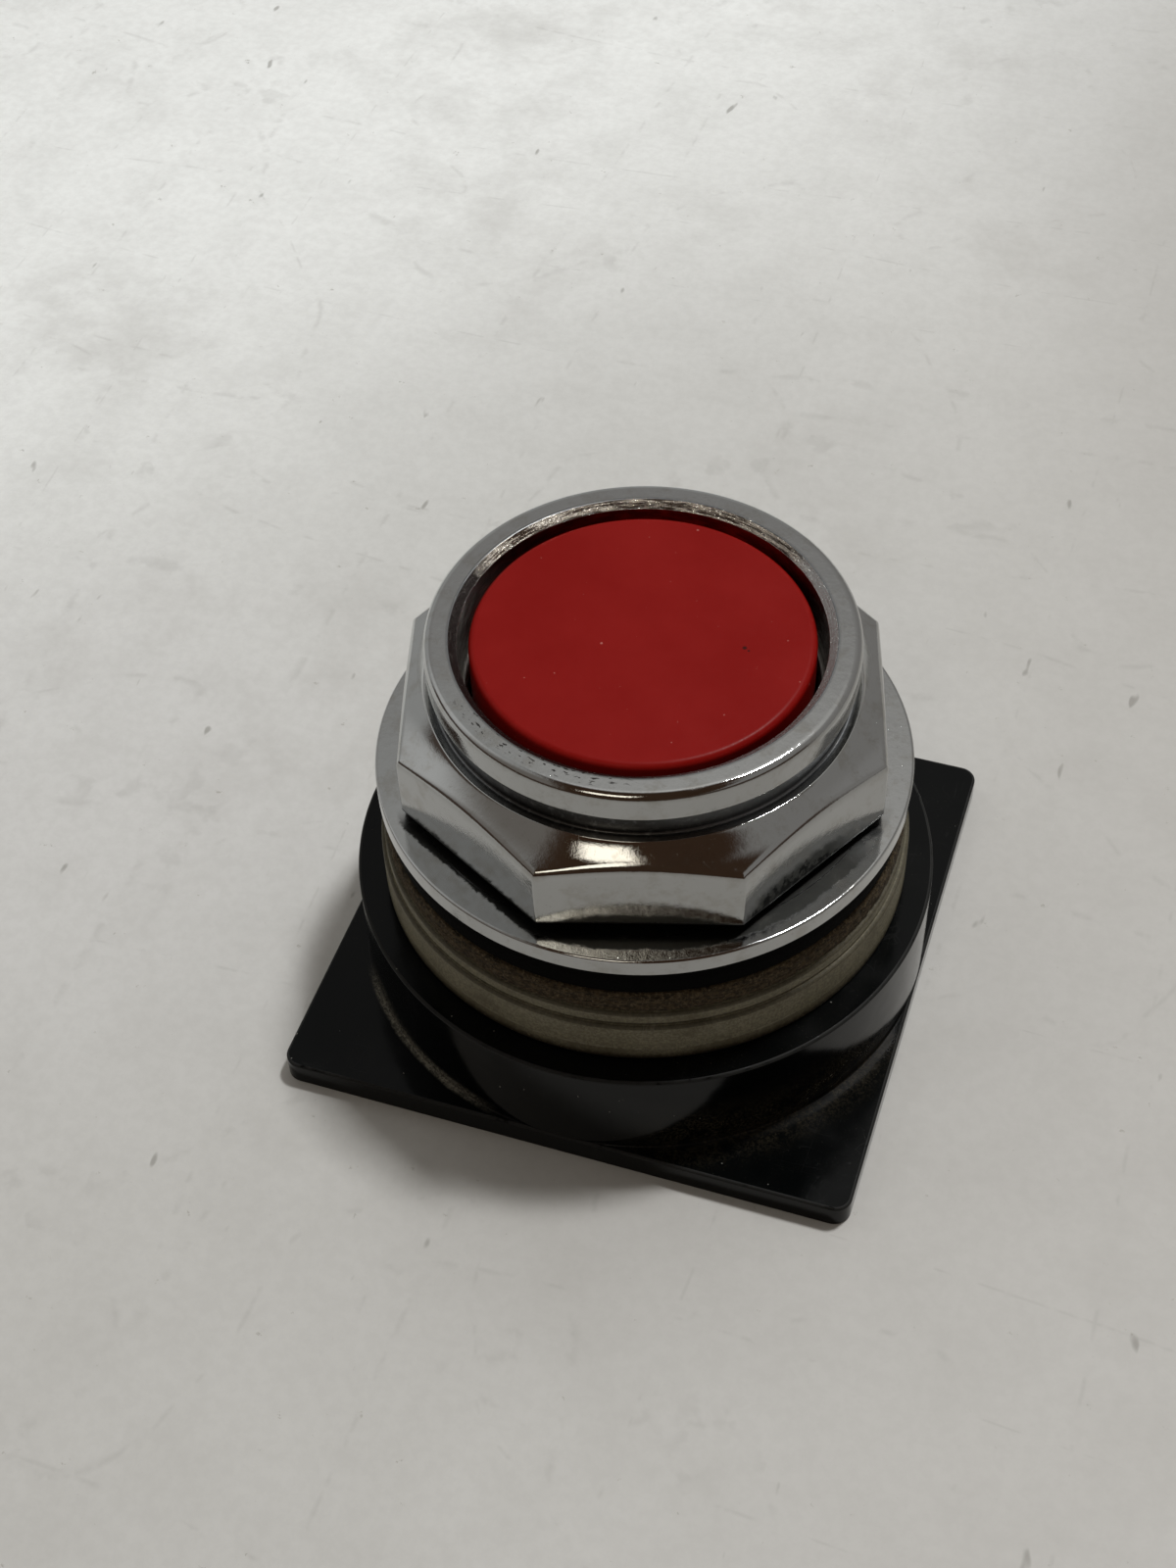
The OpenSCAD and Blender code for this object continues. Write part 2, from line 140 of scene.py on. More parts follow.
def turned(name, radius, height, edges=0.0, angle=None, closed=True):
    """Carries an outline round the Z axis: a point lies at (radius cos angle, radius sin angle, height).
    radius and height have a row for each point of the outline, and a column for each angle or only one. A
    closed outline joins its last row to its first; an open one starts and ends on the axis."""
    angle = full_turn(192) if angle is None else angle
    radius, height = (np.asarray(v, float).reshape(len(v), -1) for v in (radius, height))
    radius, height, a = np.broadcast_arrays(radius, height, angle[None])
    points = np.stack([radius * np.cos(a), radius * np.sin(a), height], -1) * 0.001
    rows, columns = radius.shape
    here = np.arange(rows * columns).reshape(rows, columns)
    above = np.roll(here, -1, 0)
    if not closed:
        here, above = here[:-1], above[:-1]
    quads = np.stack([here, np.roll(here, -1, 1), np.roll(above, -1, 1), above], -1).reshape(-1, 4)
    mesh = bpy.data.meshes.new(name)
    mesh.from_pydata(points.reshape(-1, 3), [], quads)
    edges = np.broadcast_to(np.asarray(edges, float).reshape(-1, 1), (rows, columns)).ravel()
    mesh.attributes.new("edge", "FLOAT", "POINT").data.foreach_set("value", edges.astype(np.float32))
    if not closed:
        body = bmesh.new()
        body.from_mesh(mesh)
        bmesh.ops.remove_doubles(body, verts=body.verts, dist=1e-7)
        body.to_mesh(mesh)
        body.free()
    return finish_mesh(mesh)


crease = math.radians(32)


def finish_mesh(mesh):
    """Shades a mesh smooth, except over edges sharper than the crease angle, and gives it an object."""
    mesh.polygons.foreach_set("use_smooth", np.ones(len(mesh.polygons), bool))
    mesh.set_sharp_from_angle(angle=crease)
    return new_object(mesh.name, mesh)


def fit(piece, material, slot, body, *nodes):
    """Gives a finished piece its material, and puts it in the place of its solids on its body."""
    piece.data.materials.clear()
    piece.data.materials.append(material)
    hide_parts(*nodes)
    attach(piece, body)


class Value:
    """A number, place or colour that a material works out at each point. The usual signs work on a number."""

    def __init__(self, tree, socket):
        self.tree, self.socket = tree, socket

    def __add__(self, other):
        return calc("ADD", self, other)

    def __sub__(self, other):
        return calc("SUBTRACT", self, other)

    def __rsub__(self, other):
        return calc("SUBTRACT", other, self)

    def __mul__(self, other):
        return calc("MULTIPLY", self, other)

    def __neg__(self):
        return calc("MULTIPLY", self, -1.0)

    def __abs__(self):
        return calc("ABSOLUTE", self)


def feed(made, inputs):
    """Gives a shader node its inputs. A Value is linked; a number, place or colour is set on the socket."""
    for key, value in inputs.items():
        if isinstance(value, Value):
            value.tree.links.new(value.socket, made.inputs[key])
        elif made.inputs[key].type == "RGBA":
            made.inputs[key].default_value = (*value, 1)
        else:
            made.inputs[key].default_value = value


def add(tree, kind, inputs=None, **settings):
    """A new shader node with its settings and inputs."""
    made = tree.nodes.new("ShaderNode" + kind)
    for key, value in settings.items():
        setattr(made, key, value)
    feed(made, inputs or {})
    return made


def given_by(tree, made):
    """The outputs of a shader node, by name."""
    return {output.name: Value(tree, output) for output in made.outputs}


def calc(operation, *values, clamp=False):
    """One step of arithmetic on numbers, at least one of them a Value."""
    tree = next(value.tree for value in values if isinstance(value, Value))
    made = add(tree, "Math", dict(enumerate(values)), operation=operation, use_clamp=clamp)
    return Value(tree, made.outputs[0])


def greatest(first, *others):
    """The greatest of several numbers."""
    for other in others:
        first = calc("MAXIMUM", first, other)
    return first


def vector(operation, *values):
    """One step of arithmetic on places. It gives a number for a length, a distance or a dot product."""
    made = add(values[0].tree, "VectorMath", dict(enumerate(values)), operation=operation)
    number = operation in ("LENGTH", "DISTANCE", "DOT_PRODUCT")
    return Value(values[0].tree, made.outputs["Value" if number else 0])


def parts(place):
    """The X, Y and Z of a place."""
    return given_by(place.tree, add(place.tree, "SeparateXYZ", {0: place}))


def together(x, y, z):
    """The place with this X, Y and Z."""
    return Value(x.tree, add(x.tree, "CombineXYZ", {0: x, 1: y, 2: z}).outputs[0])


def round_the_axis(place):
    """The X, Y and Z of a place, its distance from the head's upright axis, and its direction from there in
    radians, which is 0 at the front and grows towards the right."""
    across = parts(place)
    from_axis = calc("SQRT", across["X"] * across["X"] + across["Y"] * across["Y"])
    return across, from_axis, calc("ARCTAN2", across["X"], -across["Y"])


def spread(value, low, high, to_low=0.0, to_high=1.0):
    """A value between low and high, carried smoothly over to another span and held at its ends."""
    inputs = {"Value": value, "From Min": low, "From Max": high, "To Min": to_low, "To Max": to_high}
    made = add(value.tree, "MapRange", inputs, interpolation_type="SMOOTHSTEP")
    return Value(value.tree, made.outputs["Result"])


def fade(value, low, high):
    """1 below low, falling smoothly to 0 at high."""
    return spread(value, low, high, 1.0, 0.0)


def lay(colour, *coats):
    """A first colour with others laid over it in turn, each by its own amount from 0 to 1."""
    for amount, over in coats:
        made = add(amount.tree, "Mix", {"Factor": amount, 6: colour, 7: over}, data_type="RGBA")
        colour = Value(amount.tree, made.outputs[2])
    return colour


def effect(name, inputs, outputs):
    """A new node group, what it is given, and the node that it feeds. inputs holds the defaults."""
    group = bpy.data.node_groups.new(name, "ShaderNodeTree")
    group.interface.new_socket(name="Coordinates", in_out="INPUT", socket_type="NodeSocketVector")
    for label, value in inputs.items():
        socket = group.interface.new_socket(name=label, in_out="INPUT", socket_type="NodeSocketFloat")
        socket.default_value = value
    for label in outputs:
        group.interface.new_socket(name=label, in_out="OUTPUT", socket_type="NodeSocketFloat")
    return group, given_by(group, group.nodes.new("NodeGroupInput")), group.nodes.new("NodeGroupOutput")


def noise(place, per_mm, detail=3.0, roughness=0.5, stretch=None):
    """Noise with about per_mm blobs in each millimetre, and finer along any axis that is stretched."""
    if stretch:
        place = vector("MULTIPLY", place, stretch)
    inputs = {"Vector": place, "Scale": per_mm * 1000.0, "Detail": detail, "Roughness": roughness}
    return Value(place.tree, add(place.tree, "TexNoise", inputs).outputs["Fac"])


# Rubbed edges: an outer edge shows where noise dips under its share of wear.
rubbed_edges, given, put = effect("rubbed edges", {"Edge": 0, "Wear": 0.5, "Per mm": 1}, ["Mask"])
patches = noise(given["Coordinates"], given["Per mm"], 5, 0.65)
feed(put, {"Mask": spread(greatest(given["Edge"], 0.0) * given["Wear"] - patches, -0.12, 0.12)})

# Fine grain: two sizes of noise, for the tiny relief and unevenness that every made surface has.
fine_grain, given, put = effect("fine grain", {"Per mm": 4}, ["Relief", "Unevenness"])
feed(put, {"Relief": noise(given["Coordinates"], given["Per mm"], 4, 0.6),
           "Unevenness": noise(given["Coordinates"], given["Per mm"] * 0.07, 2)})

# Dust: specks that settle on faces that look up, and a film that gathers in inner corners.
dust, given, put = effect("settled dust", {"Edge": 0, "Amount": 0.5, "Per mm": 2}, ["Mask", "Film"])
facing = given_by(dust, add(dust, "NewGeometry"))["Normal"]
upward = spread(parts(facing)["Z"], 0.1, 0.95, 0.15, 1.0)
specks = spread(noise(given["Coordinates"], given["Per mm"], 6, 0.75), 0.62, 0.74)
cloud = spread(noise(given["Coordinates"], 0.09, 3, 0.6), 0.42, 0.72)
film = calc("ADD", cloud * upward, greatest(-given["Edge"], 0.0), clamp=True)
feed(put, {"Film": film * given["Amount"], "Mask": specks * (film + 0.15) * given["Amount"]})

# Hairlines: long thin marks in three directions, where stretched noise passes through its middle value.
hairlines, given, put = effect("hairlines", {"Amount": 0.5, "Per mm": 0.4}, ["Mask"])
marks = [fade(abs(noise(given["Coordinates"], given["Per mm"], 1.5, 0.5, stretch) - 0.5), 0.0, 0.006)
         for stretch in ((1.0, 0.05, 0.3), (0.12, 1.0, 0.4), (0.6, 0.5, 0.06))]
broken = spread(noise(given["Coordinates"], 0.35, 3), 0.5, 0.62)
feed(put, {"Mask": greatest(*marks) * broken * given["Amount"]})


def start_material(name):
    """A material, its Principled shader, and the Values of its Object coordinates and edge attribute."""
    material = bpy.data.materials.new(name)
    material.use_nodes = True
    tree = material.node_tree
    tree.nodes.clear()
    shader = add(tree, "BsdfPrincipled")
    tree.links.new(shader.outputs[0], add(tree, "OutputMaterial").inputs["Surface"])
    place = given_by(tree, add(tree, "TexCoord"))["Object"]
    edge = given_by(tree, add(tree, "Attribute", attribute_name="edge"))["Fac"]
    return material, shader, place, edge


def use(group, place, **inputs):
    """Puts an effect in a material, with its own inputs. A _ stands for the space in an input's name."""
    made = add(place.tree, "Group", node_tree=group)
    feed(made, {"Coordinates": place, **{key.replace("_", " "): value for key, value in inputs.items()}})
    return given_by(place.tree, made)


def relief(shader, *heights):
    """Raises heights from 0 to 1 by their depths in millimetres, each on top of the one before."""
    under = {}
    for height, depth in heights:
        inputs = {"Height": height, "Distance": depth * 0.001, "Strength": 1.0, **under}
        under = {"Normal": Value(height.tree, add(height.tree, "Bump", inputs).outputs[0])}
    feed(shader, under)


black_moulding, shader, place, edge = start_material("black moulding")
grain = use(fine_grain, place, Per_mm=3.0)
settled = use(dust, place, Edge=edge, Amount=0.5, Per_mm=6.0)
marked = use(hairlines, place, Amount=0.6, Per_mm=0.5)["Mask"]
worn = use(rubbed_edges, place, Edge=edge, Wear=0.6, Per_mm=0.7)["Mask"]
across, from_axis, direction = round_the_axis(place)
wander = noise(place, 0.5, 4, 0.7)
powder = spread(noise(place, 5.0, 5, 0.8), 0.42, 0.62)
crumbs = spread(noise(place, 2.4, 1, 0.5), 0.785, 0.81)

# A thin line of dust beside the boss's foot at the front left.
front_left = spread(direction, -1.05, -0.85) * fade(direction, -0.45, -0.2)
boss_foot = wander * 0.0004 + 0.0219
dust_line = fade(abs(from_axis - boss_foot), 0.00012, 0.00042) * fade(across["Z"], 0.0024, 0.0032)
dust_line = dust_line * front_left * spread(powder, 0.0, 1.0, 0.25, 1.0)

# Rusty powder on the foot of the boss at the front right.
front_right = spread(direction, 0.15, 0.5) * fade(direction, 1.1, 1.5)
low_wall = fade(from_axis, 0.0212, 0.025) * fade(across["Z"], 0.003, 0.0085)
powder_patch = powder * spread(wander, 0.36, 0.52) * front_right * low_wall
dusty_foot = front_right * fade(across["Z"], 0.0024, 0.003) * fade(from_axis, 0.0215, 0.0235)

colour = lay(
    (0.0007, 0.0011, 0.0012),
    (grain["Unevenness"], (0.0017, 0.0021, 0.0021)),
    (marked * 0.1, (0.07, 0.07, 0.068)),
    (worn * 0.3, (0.05, 0.05, 0.047)),
    (settled["Film"] * 0.012, (0.13, 0.115, 0.09)),
    (settled["Mask"], (0.16, 0.145, 0.11)),
    (powder_patch * 0.5, (0.066, 0.054, 0.034)),
    (dust_line, (0.19, 0.18, 0.145)),
    (crumbs * 0.5, (0.3, 0.3, 0.27)))
dulled = greatest(settled["Film"] * 0.5, worn, dust_line, powder_patch * 0.4, dusty_foot)
dulled = spread(dulled + grain["Unevenness"] * 0.25, 0.05, 1.0, 0.11, 0.6)
feed(shader, {"Base Color": colour, "Roughness": dulled, "Specular IOR Level": 0.13})
relief(shader, (grain["Unevenness"], 0.05), (grain["Relief"], 0.0016))

low, high = box_mm("housing")
plate_half, plate_corner, plate_top = high[0], 1.3, low[2] + 2.1
boss_radius, boss_top = plate_half - 0.05, high[2]
well_radius, well_top = 12.6, 3.5
barrel_radius = 15.0

corner_start = np.arctan2(plate_half - plate_corner, plate_half)
corner_end = np.pi / 2 - corner_start
quarter = np.concatenate([np.linspace(-np.pi / 4 + 0.06, corner_start - 0.012, 60),
                          np.linspace(corner_start, corner_end, 13)])
around = np.sort(np.concatenate([quarter + k * np.pi / 2 for k in range(4)]) % (2 * np.pi))


def rounded_square(half, corner, angle):
    """Distance from the centre to a rounded square in each direction. On a side it is half over the larger of
    |cos| and |sin|; near a corner it is the far root of the circle of the corner's radius."""
    x, y = np.abs(np.cos(angle)), np.abs(np.sin(angle))
    side = half / np.maximum(x, y)
    inner = half - corner
    along = inner * (x + y)
    bend = along + np.sqrt(np.maximum(along**2 - 2 * inner**2 + corner**2, 0))
    return np.where(side * np.minimum(x, y) > inner, bend, side)


plate_outline, plate_edges = (v[1:-1] for v in soften(
    [(plate_half - 3, low[2]), (plate_half, low[2]), (plate_half, plate_top), (plate_half - 3, plate_top)],
    [0, 0.12, 0.2, 0], 5))
inset = plate_half - plate_outline[:, :1]
plate_reach = rounded_square(plate_half - inset, np.maximum(plate_corner - inset, 0.1), around[None])
upper = plate_outline[:, 1:] > (plate_top + low[2]) / 2
plate_reach = np.where(upper, np.maximum(plate_reach, boss_radius), plate_reach)

boss_outline, boss_edges = (v[1:] for v in soften(
    [(boss_radius + 0.3, plate_top), (boss_radius, plate_top), (boss_radius, boss_top),
     (barrel_radius, boss_top)], [0, 0.12, 0.22, 0], 6))
boss_reach = np.clip(boss_outline[:, :1], None, np.maximum(plate_reach[-1], boss_radius)[None])
inner_outline, inner_edges = (v[1:-1] for v in soften(
    [(barrel_radius, boss_top), (barrel_radius, well_top), (well_radius, well_top), (well_radius, low[2]),
     (30, low[2])], [0, 0, 0, 0.35, 0], 4))
moulded_base = turned(
    "moulded_base",
    all_round(around, inner_outline[:, 0], plate_reach, boss_reach),
    all_round(around, inner_outline[:, 1], plate_outline[:, 1], boss_outline[:, 1]),
    np.concatenate([inner_edges, plate_edges, boss_edges]), around)

low, high = box_mm("contact_block_inserts")
insert_radius, insert_top = 2.4, high[2]
insert_distance = math.hypot(high[0], high[1]) - insert_radius * math.sqrt(2)
insert_centres = [(insert_distance * math.cos(a), insert_distance * math.sin(a))
                  for a in np.pi / 4 + np.pi / 2 * np.arange(4)]


def bored(piece, centres, radius, top):
    """Takes blind round holes of one depth out of a piece's underside."""
    drill = bmesh.new()
    for x, y in centres:
        made = bmesh.ops.create_cone(drill, cap_ends=True, segments=64, radius1=radius * 0.001,
                                     radius2=radius * 0.001, depth=(top + 2) * 0.001)
        bmesh.ops.translate(drill, verts=made["verts"], vec=(x * 0.001, y * 0.001, (top - 2) / 2 * 0.001))
    mesh = bpy.data.meshes.new("drill")
    drill.to_mesh(mesh)
    drill.free()
    cut = piece.modifiers.new("holes", "BOOLEAN")
    cut.object = cutter = new_object("drill", mesh)
    cut.solver = "EXACT"
    bpy.context.view_layer.update()
    result = bpy.data.meshes.new_from_object(piece.evaluated_get(bpy.context.evaluated_depsgraph_get()))
    piece.modifiers.clear()
    piece.data = result
    result.name = piece.name
    result.set_sharp_from_angle(angle=crease)
    bpy.data.objects.remove(cutter)


bored(moulded_base, insert_centres, insert_radius, insert_top)
fit(moulded_base, black_moulding, "black_moulding", "base", "housing")


# Contact block inserts. Four turned brass bushes, pressed into the underside and tapped for the screws that
# hold the contact block.
turned_brass, shader, place, edge = start_material("turned brass")
grain = use(fine_grain, place, Per_mm=6.0)
tarnish = use(dust, place, Edge=edge, Amount=0.8, Per_mm=3.0)["Film"]
colour = lay((0.62, 0.42, 0.15), (grain["Unevenness"], (0.5, 0.33, 0.11)), (tarnish, (0.2, 0.12, 0.05)))
dulled = spread(grain["Relief"], 0.2, 0.8, 0.22, 0.42)
feed(shader, {"Base Color": colour, "Roughness": dulled, "Metallic": 1.0})
relief(shader, (grain["Relief"], 0.003))


def tapped(radius, low, high, pitch, depth, samples=10):
    """Rows of a tapped hole's wall from high to low. The radius swings out by the depth in each pitch."""
    height = np.linspace(high, low, max(2, int((high - low) / pitch * samples)))
    swing = np.abs((height / pitch) % 1 - 0.5) * 2
    return np.stack([radius + depth * swing, height], 1)


def joined(name, pieces):
    """Several meshes as one piece."""
    body = bmesh.new()
    for piece in pieces:
        body.from_mesh(piece.data)
        bpy.data.objects.remove(piece)
    mesh = bpy.data.meshes.new(name)
    body.to_mesh(mesh)
    body.free()
    return finish_mesh(mesh)


tap_radius, tube_radius = 1.45, insert_radius - 0.02
tube_outline, tube_edges = soften(
    [(tap_radius, 0), (tube_radius, 0), (tube_radius, insert_top), (tap_radius, insert_top)],
    [0.25, 0.12, 0.1, 0.1], 4)
tube_wall = tapped(tap_radius, 0.5, insert_top - 0.3, 0.6, 0.14)
tube_outline = np.concatenate([tube_outline, tube_wall])
tube_edges = np.concatenate([tube_edges, 0 * tube_wall[:, 0]])
tubes = [turned(f"brass_insert_{number}", *tube_outline.T, tube_edges, full_turn(48)) for number in range(4)]
for tube, (x, y) in zip(tubes, insert_centres):
    tube.data.transform(Matrix.Translation((x * 0.001, y * 0.001, 0)))
fit(joined("brass_inserts", tubes), turned_brass, "brass", "base", "contact_block_inserts")


# Threaded bushing. A die-cast barrel, moulded into the boss, with a 30 mm thread outside, a web across its
# middle for the stem's bush, and a bore above it for the cap.
dull_casting, shader, place, edge = start_material("dull casting")
grain = use(fine_grain, place, Per_mm=5.0)
worn = use(rubbed_edges, place, Edge=edge, Wear=0.8, Per_mm=1.2)["Mask"]
settled = use(dust, place, Edge=edge, Amount=0.7, Per_mm=3.0)["Film"]
colour = lay((0.3, 0.29, 0.27), (grain["Unevenness"], (0.4, 0.39, 0.36)), (worn, (0.55, 0.54, 0.52)),
             (settled, (0.12, 0.1, 0.08)))
dulled = spread(grain["Relief"], 0.2, 0.8, 0.34, 0.55)
feed(shader, {"Base Color": colour, "Roughness": dulled, "Metallic": 0.9})
relief(shader, (grain["Relief"], 0.008))

low, high = box_mm("threaded_bushing")
foot, bushing_top = low[2], high[2]
thread_pitch, thread_depth = 1.5, 0.92
web_low, web_top = boss_top + 0.2, boss_top + 3.2
web_bore, cap_bore, wiper_reach = 5.0, 12.45, 13.4
wiper_low, wiper_high = (v[2] for v in box_mm("wiper_seal"))
bore_outline, bore_edges = (v[2:] for v in soften(
    [(barrel_radius, foot), (barrel_radius - 0.01, boss_top), (barrel_radius - 0.5, bushing_top),
     (cap_bore, bushing_top), (cap_bore, wiper_high), (wiper_reach, wiper_high), (wiper_reach, wiper_low),
     (cap_bore, wiper_low), (cap_bore, web_top), (web_bore, web_top), (web_bore, web_low),
     (well_radius, web_low), (well_radius, foot)],
    [0, 0, 0.25, 0.3, 0.1, 0, 0, 0.1, 0.4, 0, 0, 0.3, 0.2], 4))
round_angles = full_turn(192)
rise = np.linspace(boss_top, bushing_top - 0.6, 170)[:, None]
ramp = np.clip((rise - boss_top) / 0.8, 0, 1) * np.clip((bushing_top - 0.9 - rise) / 1.2, 0, 1)
turn_part = (rise / thread_pitch - round_angles[None] / (2 * np.pi)) % 1
groove = np.clip(1.25 - np.abs(turn_part - 0.5) * 3.2, 0, 1)
lead_in = np.clip((rise - (bushing_top - 1.9)) / 1.9, 0, 1) * 0.5
thread_reach = barrel_radius - lead_in - thread_depth * groove * ramp
threaded_barrel = turned(
    "threaded_barrel",
    all_round(round_angles, barrel_radius, thread_reach, bore_outline[:, 0]),
    all_round(round_angles, foot, rise, bore_outline[:, 1]),
    np.concatenate([[0], 0.0 * rise[:, 0], bore_edges]), round_angles)
fit(threaded_barrel, dull_casting, "die_cast_metal", "base", "threaded_bushing")


# Guide bush and its O-ring. A turned brass bush pressed into the web, and the rubber ring in its groove that
# keeps oil and dust off the stem's lower end.
low, high = box_mm("guide_bush")
bush_radius, collar_radius, collar_top, stem_bore = web_bore - 0.02, 6.5, web_top + 1, 3.05
groove_reach, groove_low, groove_high = 4.5, web_low + 1.05, web_low + 2.55
bush_outline, bush_edges = soften(
    [(stem_bore, low[2]), (bush_radius, low[2]), (bush_radius, web_top), (collar_radius, web_top),
     (collar_radius, collar_top), (web_bore, collar_top), (web_bore, high[2]), (stem_bore, high[2]),
     (stem_bore, groove_high), (groove_reach, groove_high), (groove_reach, groove_low),
     (stem_bore, groove_low)],
    [0.2, 0.2, 0, 0.15, 0.15, 0.15, 0.3, 0.3, 0.08, 0, 0, 0.08], 4)
stem_guide = turned("stem_guide", *bush_outline.T, bush_edges, round_angles[::2])
fit(stem_guide, turned_brass, "brass", "base", "guide_bush")

black_rubber, shader, place, edge = start_material("black rubber")
grain = use(fine_grain, place, Per_mm=5.0)
settled = use(dust, place, Edge=edge, Amount=0.45, Per_mm=4.0)
colour = lay((0.0007, 0.0007, 0.0006), (grain["Unevenness"], (0.0016, 0.0014, 0.001)),
             (settled["Film"], (0.003, 0.0025, 0.0016)), (settled["Mask"], (0.03, 0.025, 0.016)))
dulled = spread(grain["Relief"], 0.2, 0.8, 0.7, 0.9)
feed(shader, {"Base Color": colour, "Roughness": dulled, "Specular IOR Level": 0.04})
relief(shader, (grain["Relief"], 0.01))

low, high = box_mm("stem_o_ring")
section, middle = (high[2] - low[2]) / 2, (low[2] + high[2]) / 2
a = full_turn(24)
o_ring = turned("o_ring", high[0] - section + section * np.cos(a), middle + section * np.sin(a), 0.0,
                round_angles[::2])
fit(o_ring, black_rubber, "black_rubber", "base", "stem_o_ring")


# Nylon spacers. Two natural nylon rings, a thick one and a thin one, parted off from tube. They have
# yellowed a little, with a scratch round the thick one, and hold grease and dirt at their edges.
natural_nylon, shader, place, edge = start_material("natural nylon")
grain = use(fine_grain, place, Per_mm=4.0)
marked = use(hairlines, place, Amount=0.7, Per_mm=0.6)["Mask"]
stained = noise(place, 0.25, 4, 0.6)
ragged = noise(place, 2.2, 5, 0.75)
grainy = noise(place, 4.5, 4, 0.8)
above_boss = parts(place)["Z"] - 0.001 * boss_top
grimy_foot = fade(above_boss - ragged * 0.0012, -0.0004, 0.0003)
scratch = fade(abs(above_boss - (stained * 0.0003 + 0.00115)), 0.00003, 0.00012) * spread(ragged, 0.42, 0.55)
below_scratch = fade(above_boss, 0.0011, 0.0014) * spread(stained, 0.35, 0.6, 0.2, 0.7)
colour = lay(
    (0.182, 0.165, 0.106),
    (grain["Unevenness"], (0.228, 0.208, 0.148)),
    (spread(stained, 0.5, 0.72, 0.0, 0.5), (0.07, 0.055, 0.03)),
    (below_scratch, (0.095, 0.08, 0.048)),
    (spread(grainy, 0.42, 0.6, 0.55, 0.0), (0.06, 0.056, 0.036)),
    (spread(grainy, 0.62, 0.7, 0.0, 0.5), (0.24, 0.235, 0.19)),
    (abs(edge) * 0.65, (0.03, 0.024, 0.014)),
    (marked * 0.3, (0.22, 0.21, 0.16)),
    (scratch * 0.55, (0.25, 0.235, 0.185)),
    (grimy_foot * 0.9, (0.016, 0.012, 0.006)),
    (grimy_foot * spread(ragged, 0.6, 0.68), (0.17, 0.14, 0.09)))
feed(shader, {"Base Color": colour, "Roughness": spread(grain["Relief"], 0.2, 0.8, 0.48, 0.65),
              "Specular IOR Level": 0.22, "Subsurface Weight": 0.2, "Subsurface Radius": (0.9, 0.85, 0.6),
              "Subsurface Scale": 0.0008})
relief(shader, (grain["Relief"], 0.006))


def plain_ring(name, node, hole, radii, steps, angle=None):
    """A ring with a square section and softened edges, as wide and as high as its solid."""
    low, high = box_mm(node)
    outline, edges = soften(
        [(hole, low[2]), (high[0], low[2]), (high[0], high[2]), (hole, high[2])], radii, steps)
    return turned(name, *outline.T, edges, angle)


gasket_hole = 15.25
for name, node in (("thick_nylon_ring", "thick_spacer"), ("thin_nylon_ring", "thin_spacer")):
    nylon_ring = plain_ring(name, node, gasket_hole, [0.1, 0.22, 0.22, 0.1], 5)
    fit(nylon_ring, natural_nylon, "natural_nylon", "base", node)


# Fibre gasket. A ring of brown pressed fibre. It is punched from sheet, so its outer edge is rough and a
# little furry.
brown_fibre, shader, place, edge = start_material("brown fibre")
layers = noise(place, 1.6, 5, 0.7, (1.0, 1.0, 2.2))
threads = noise(place, 4.2, 5, 0.8)
colour = lay(
    (0.016, 0.011, 0.005),
    (spread(layers, 0.35, 0.65), (0.076, 0.052, 0.026)),
    (spread(threads, 0.5, 0.64, 0.0, 0.8), (0.16, 0.125, 0.075)),
    (spread(threads, 0.3, 0.44, 0.7, 0.0), (0.006, 0.004, 0.002)))
feed(shader, {"Base Color": colour, "Roughness": 0.9, "Specular IOR Level": 0.1, "Sheen Weight": 0.04,
              "Sheen Roughness": 0.6})
relief(shader, (layers, 0.2), (threads, 0.12))

low, high = box_mm("fibre_gasket")
fibre_angles = full_turn(720)
layer = np.linspace(low[2], high[2], 15)[:, None]
seeded = np.random.default_rng(7)
fray = seeded.random((len(layer), len(fibre_angles)))
fray = (fray + np.roll(fray, 1, 1) + np.roll(fray, 2, 1) + np.roll(fray, 1, 0)) / 4
slow = 0.05 * np.sin(fibre_angles * 3 + 1) + 0.04 * np.sin(fibre_angles * 7 + 2)
shoulder = 0.18 * np.abs(np.linspace(-1, 1, len(layer))[:, None]) ** 6
fibre_reach = np.minimum(high[0] - 0.1 + slow * 0.5 - shoulder - 0.22 * fray, high[0])
fibre_ring = turned(
    "pressed_fibre_ring", all_round(fibre_angles, gasket_hole, fibre_reach, gasket_hole),
    all_round(fibre_angles, low[2], layer, high[2]), 0.0, fibre_angles)
fit(fibre_ring, brown_fibre, "brown_fibre", "base", "fibre_gasket")


# Rubber gasket. A black moulded ring that the nut squeezes, so its wall bulges a little and its lips are
# round.
low, high = box_mm("rubber_gasket")
bulge = 0.12
gasket_outline = soften(
    [(gasket_hole, low[2]), (high[0] - bulge, low[2]), (high[0], (low[2] + high[2]) / 2),
     (high[0] - bulge, high[2]), (gasket_hole, high[2])], [0.1, 0.35, 3.0, 0.35, 0.1], 6)[0]
fit(turned("rubber_ring", *gasket_outline.T), black_rubber, "black_rubber", "base", "rubber_gasket")


# Trim washer and ring nut, both chrome plated. The washer is a flat stamping, and the nut a die casting with
# a round collar, a neck, a hollow flare and eight flats for a wrench. The plating is bright, with thin
# stains, tiny pits and a rough lip where it was cut inside the collar.
bright_chrome, shader, place, edge = start_material("bright chrome")
grain = use(fine_grain, place, Per_mm=1.6)
waves = noise(place, 0.55, 2)
stained = noise(place, 0.45, 6, 0.72)
mottled = noise(place, 1.1, 6, 0.75, (1.0, 1.0, 0.6))
ragged = noise(place, 1.8, 5, 0.75)
pitted = spread(noise(place, 6.0, 3, 0.6), 0.7, 0.78)
marked = use(hairlines, place, Amount=0.55, Per_mm=0.7)["Mask"]
across, from_axis, direction = round_the_axis(place)

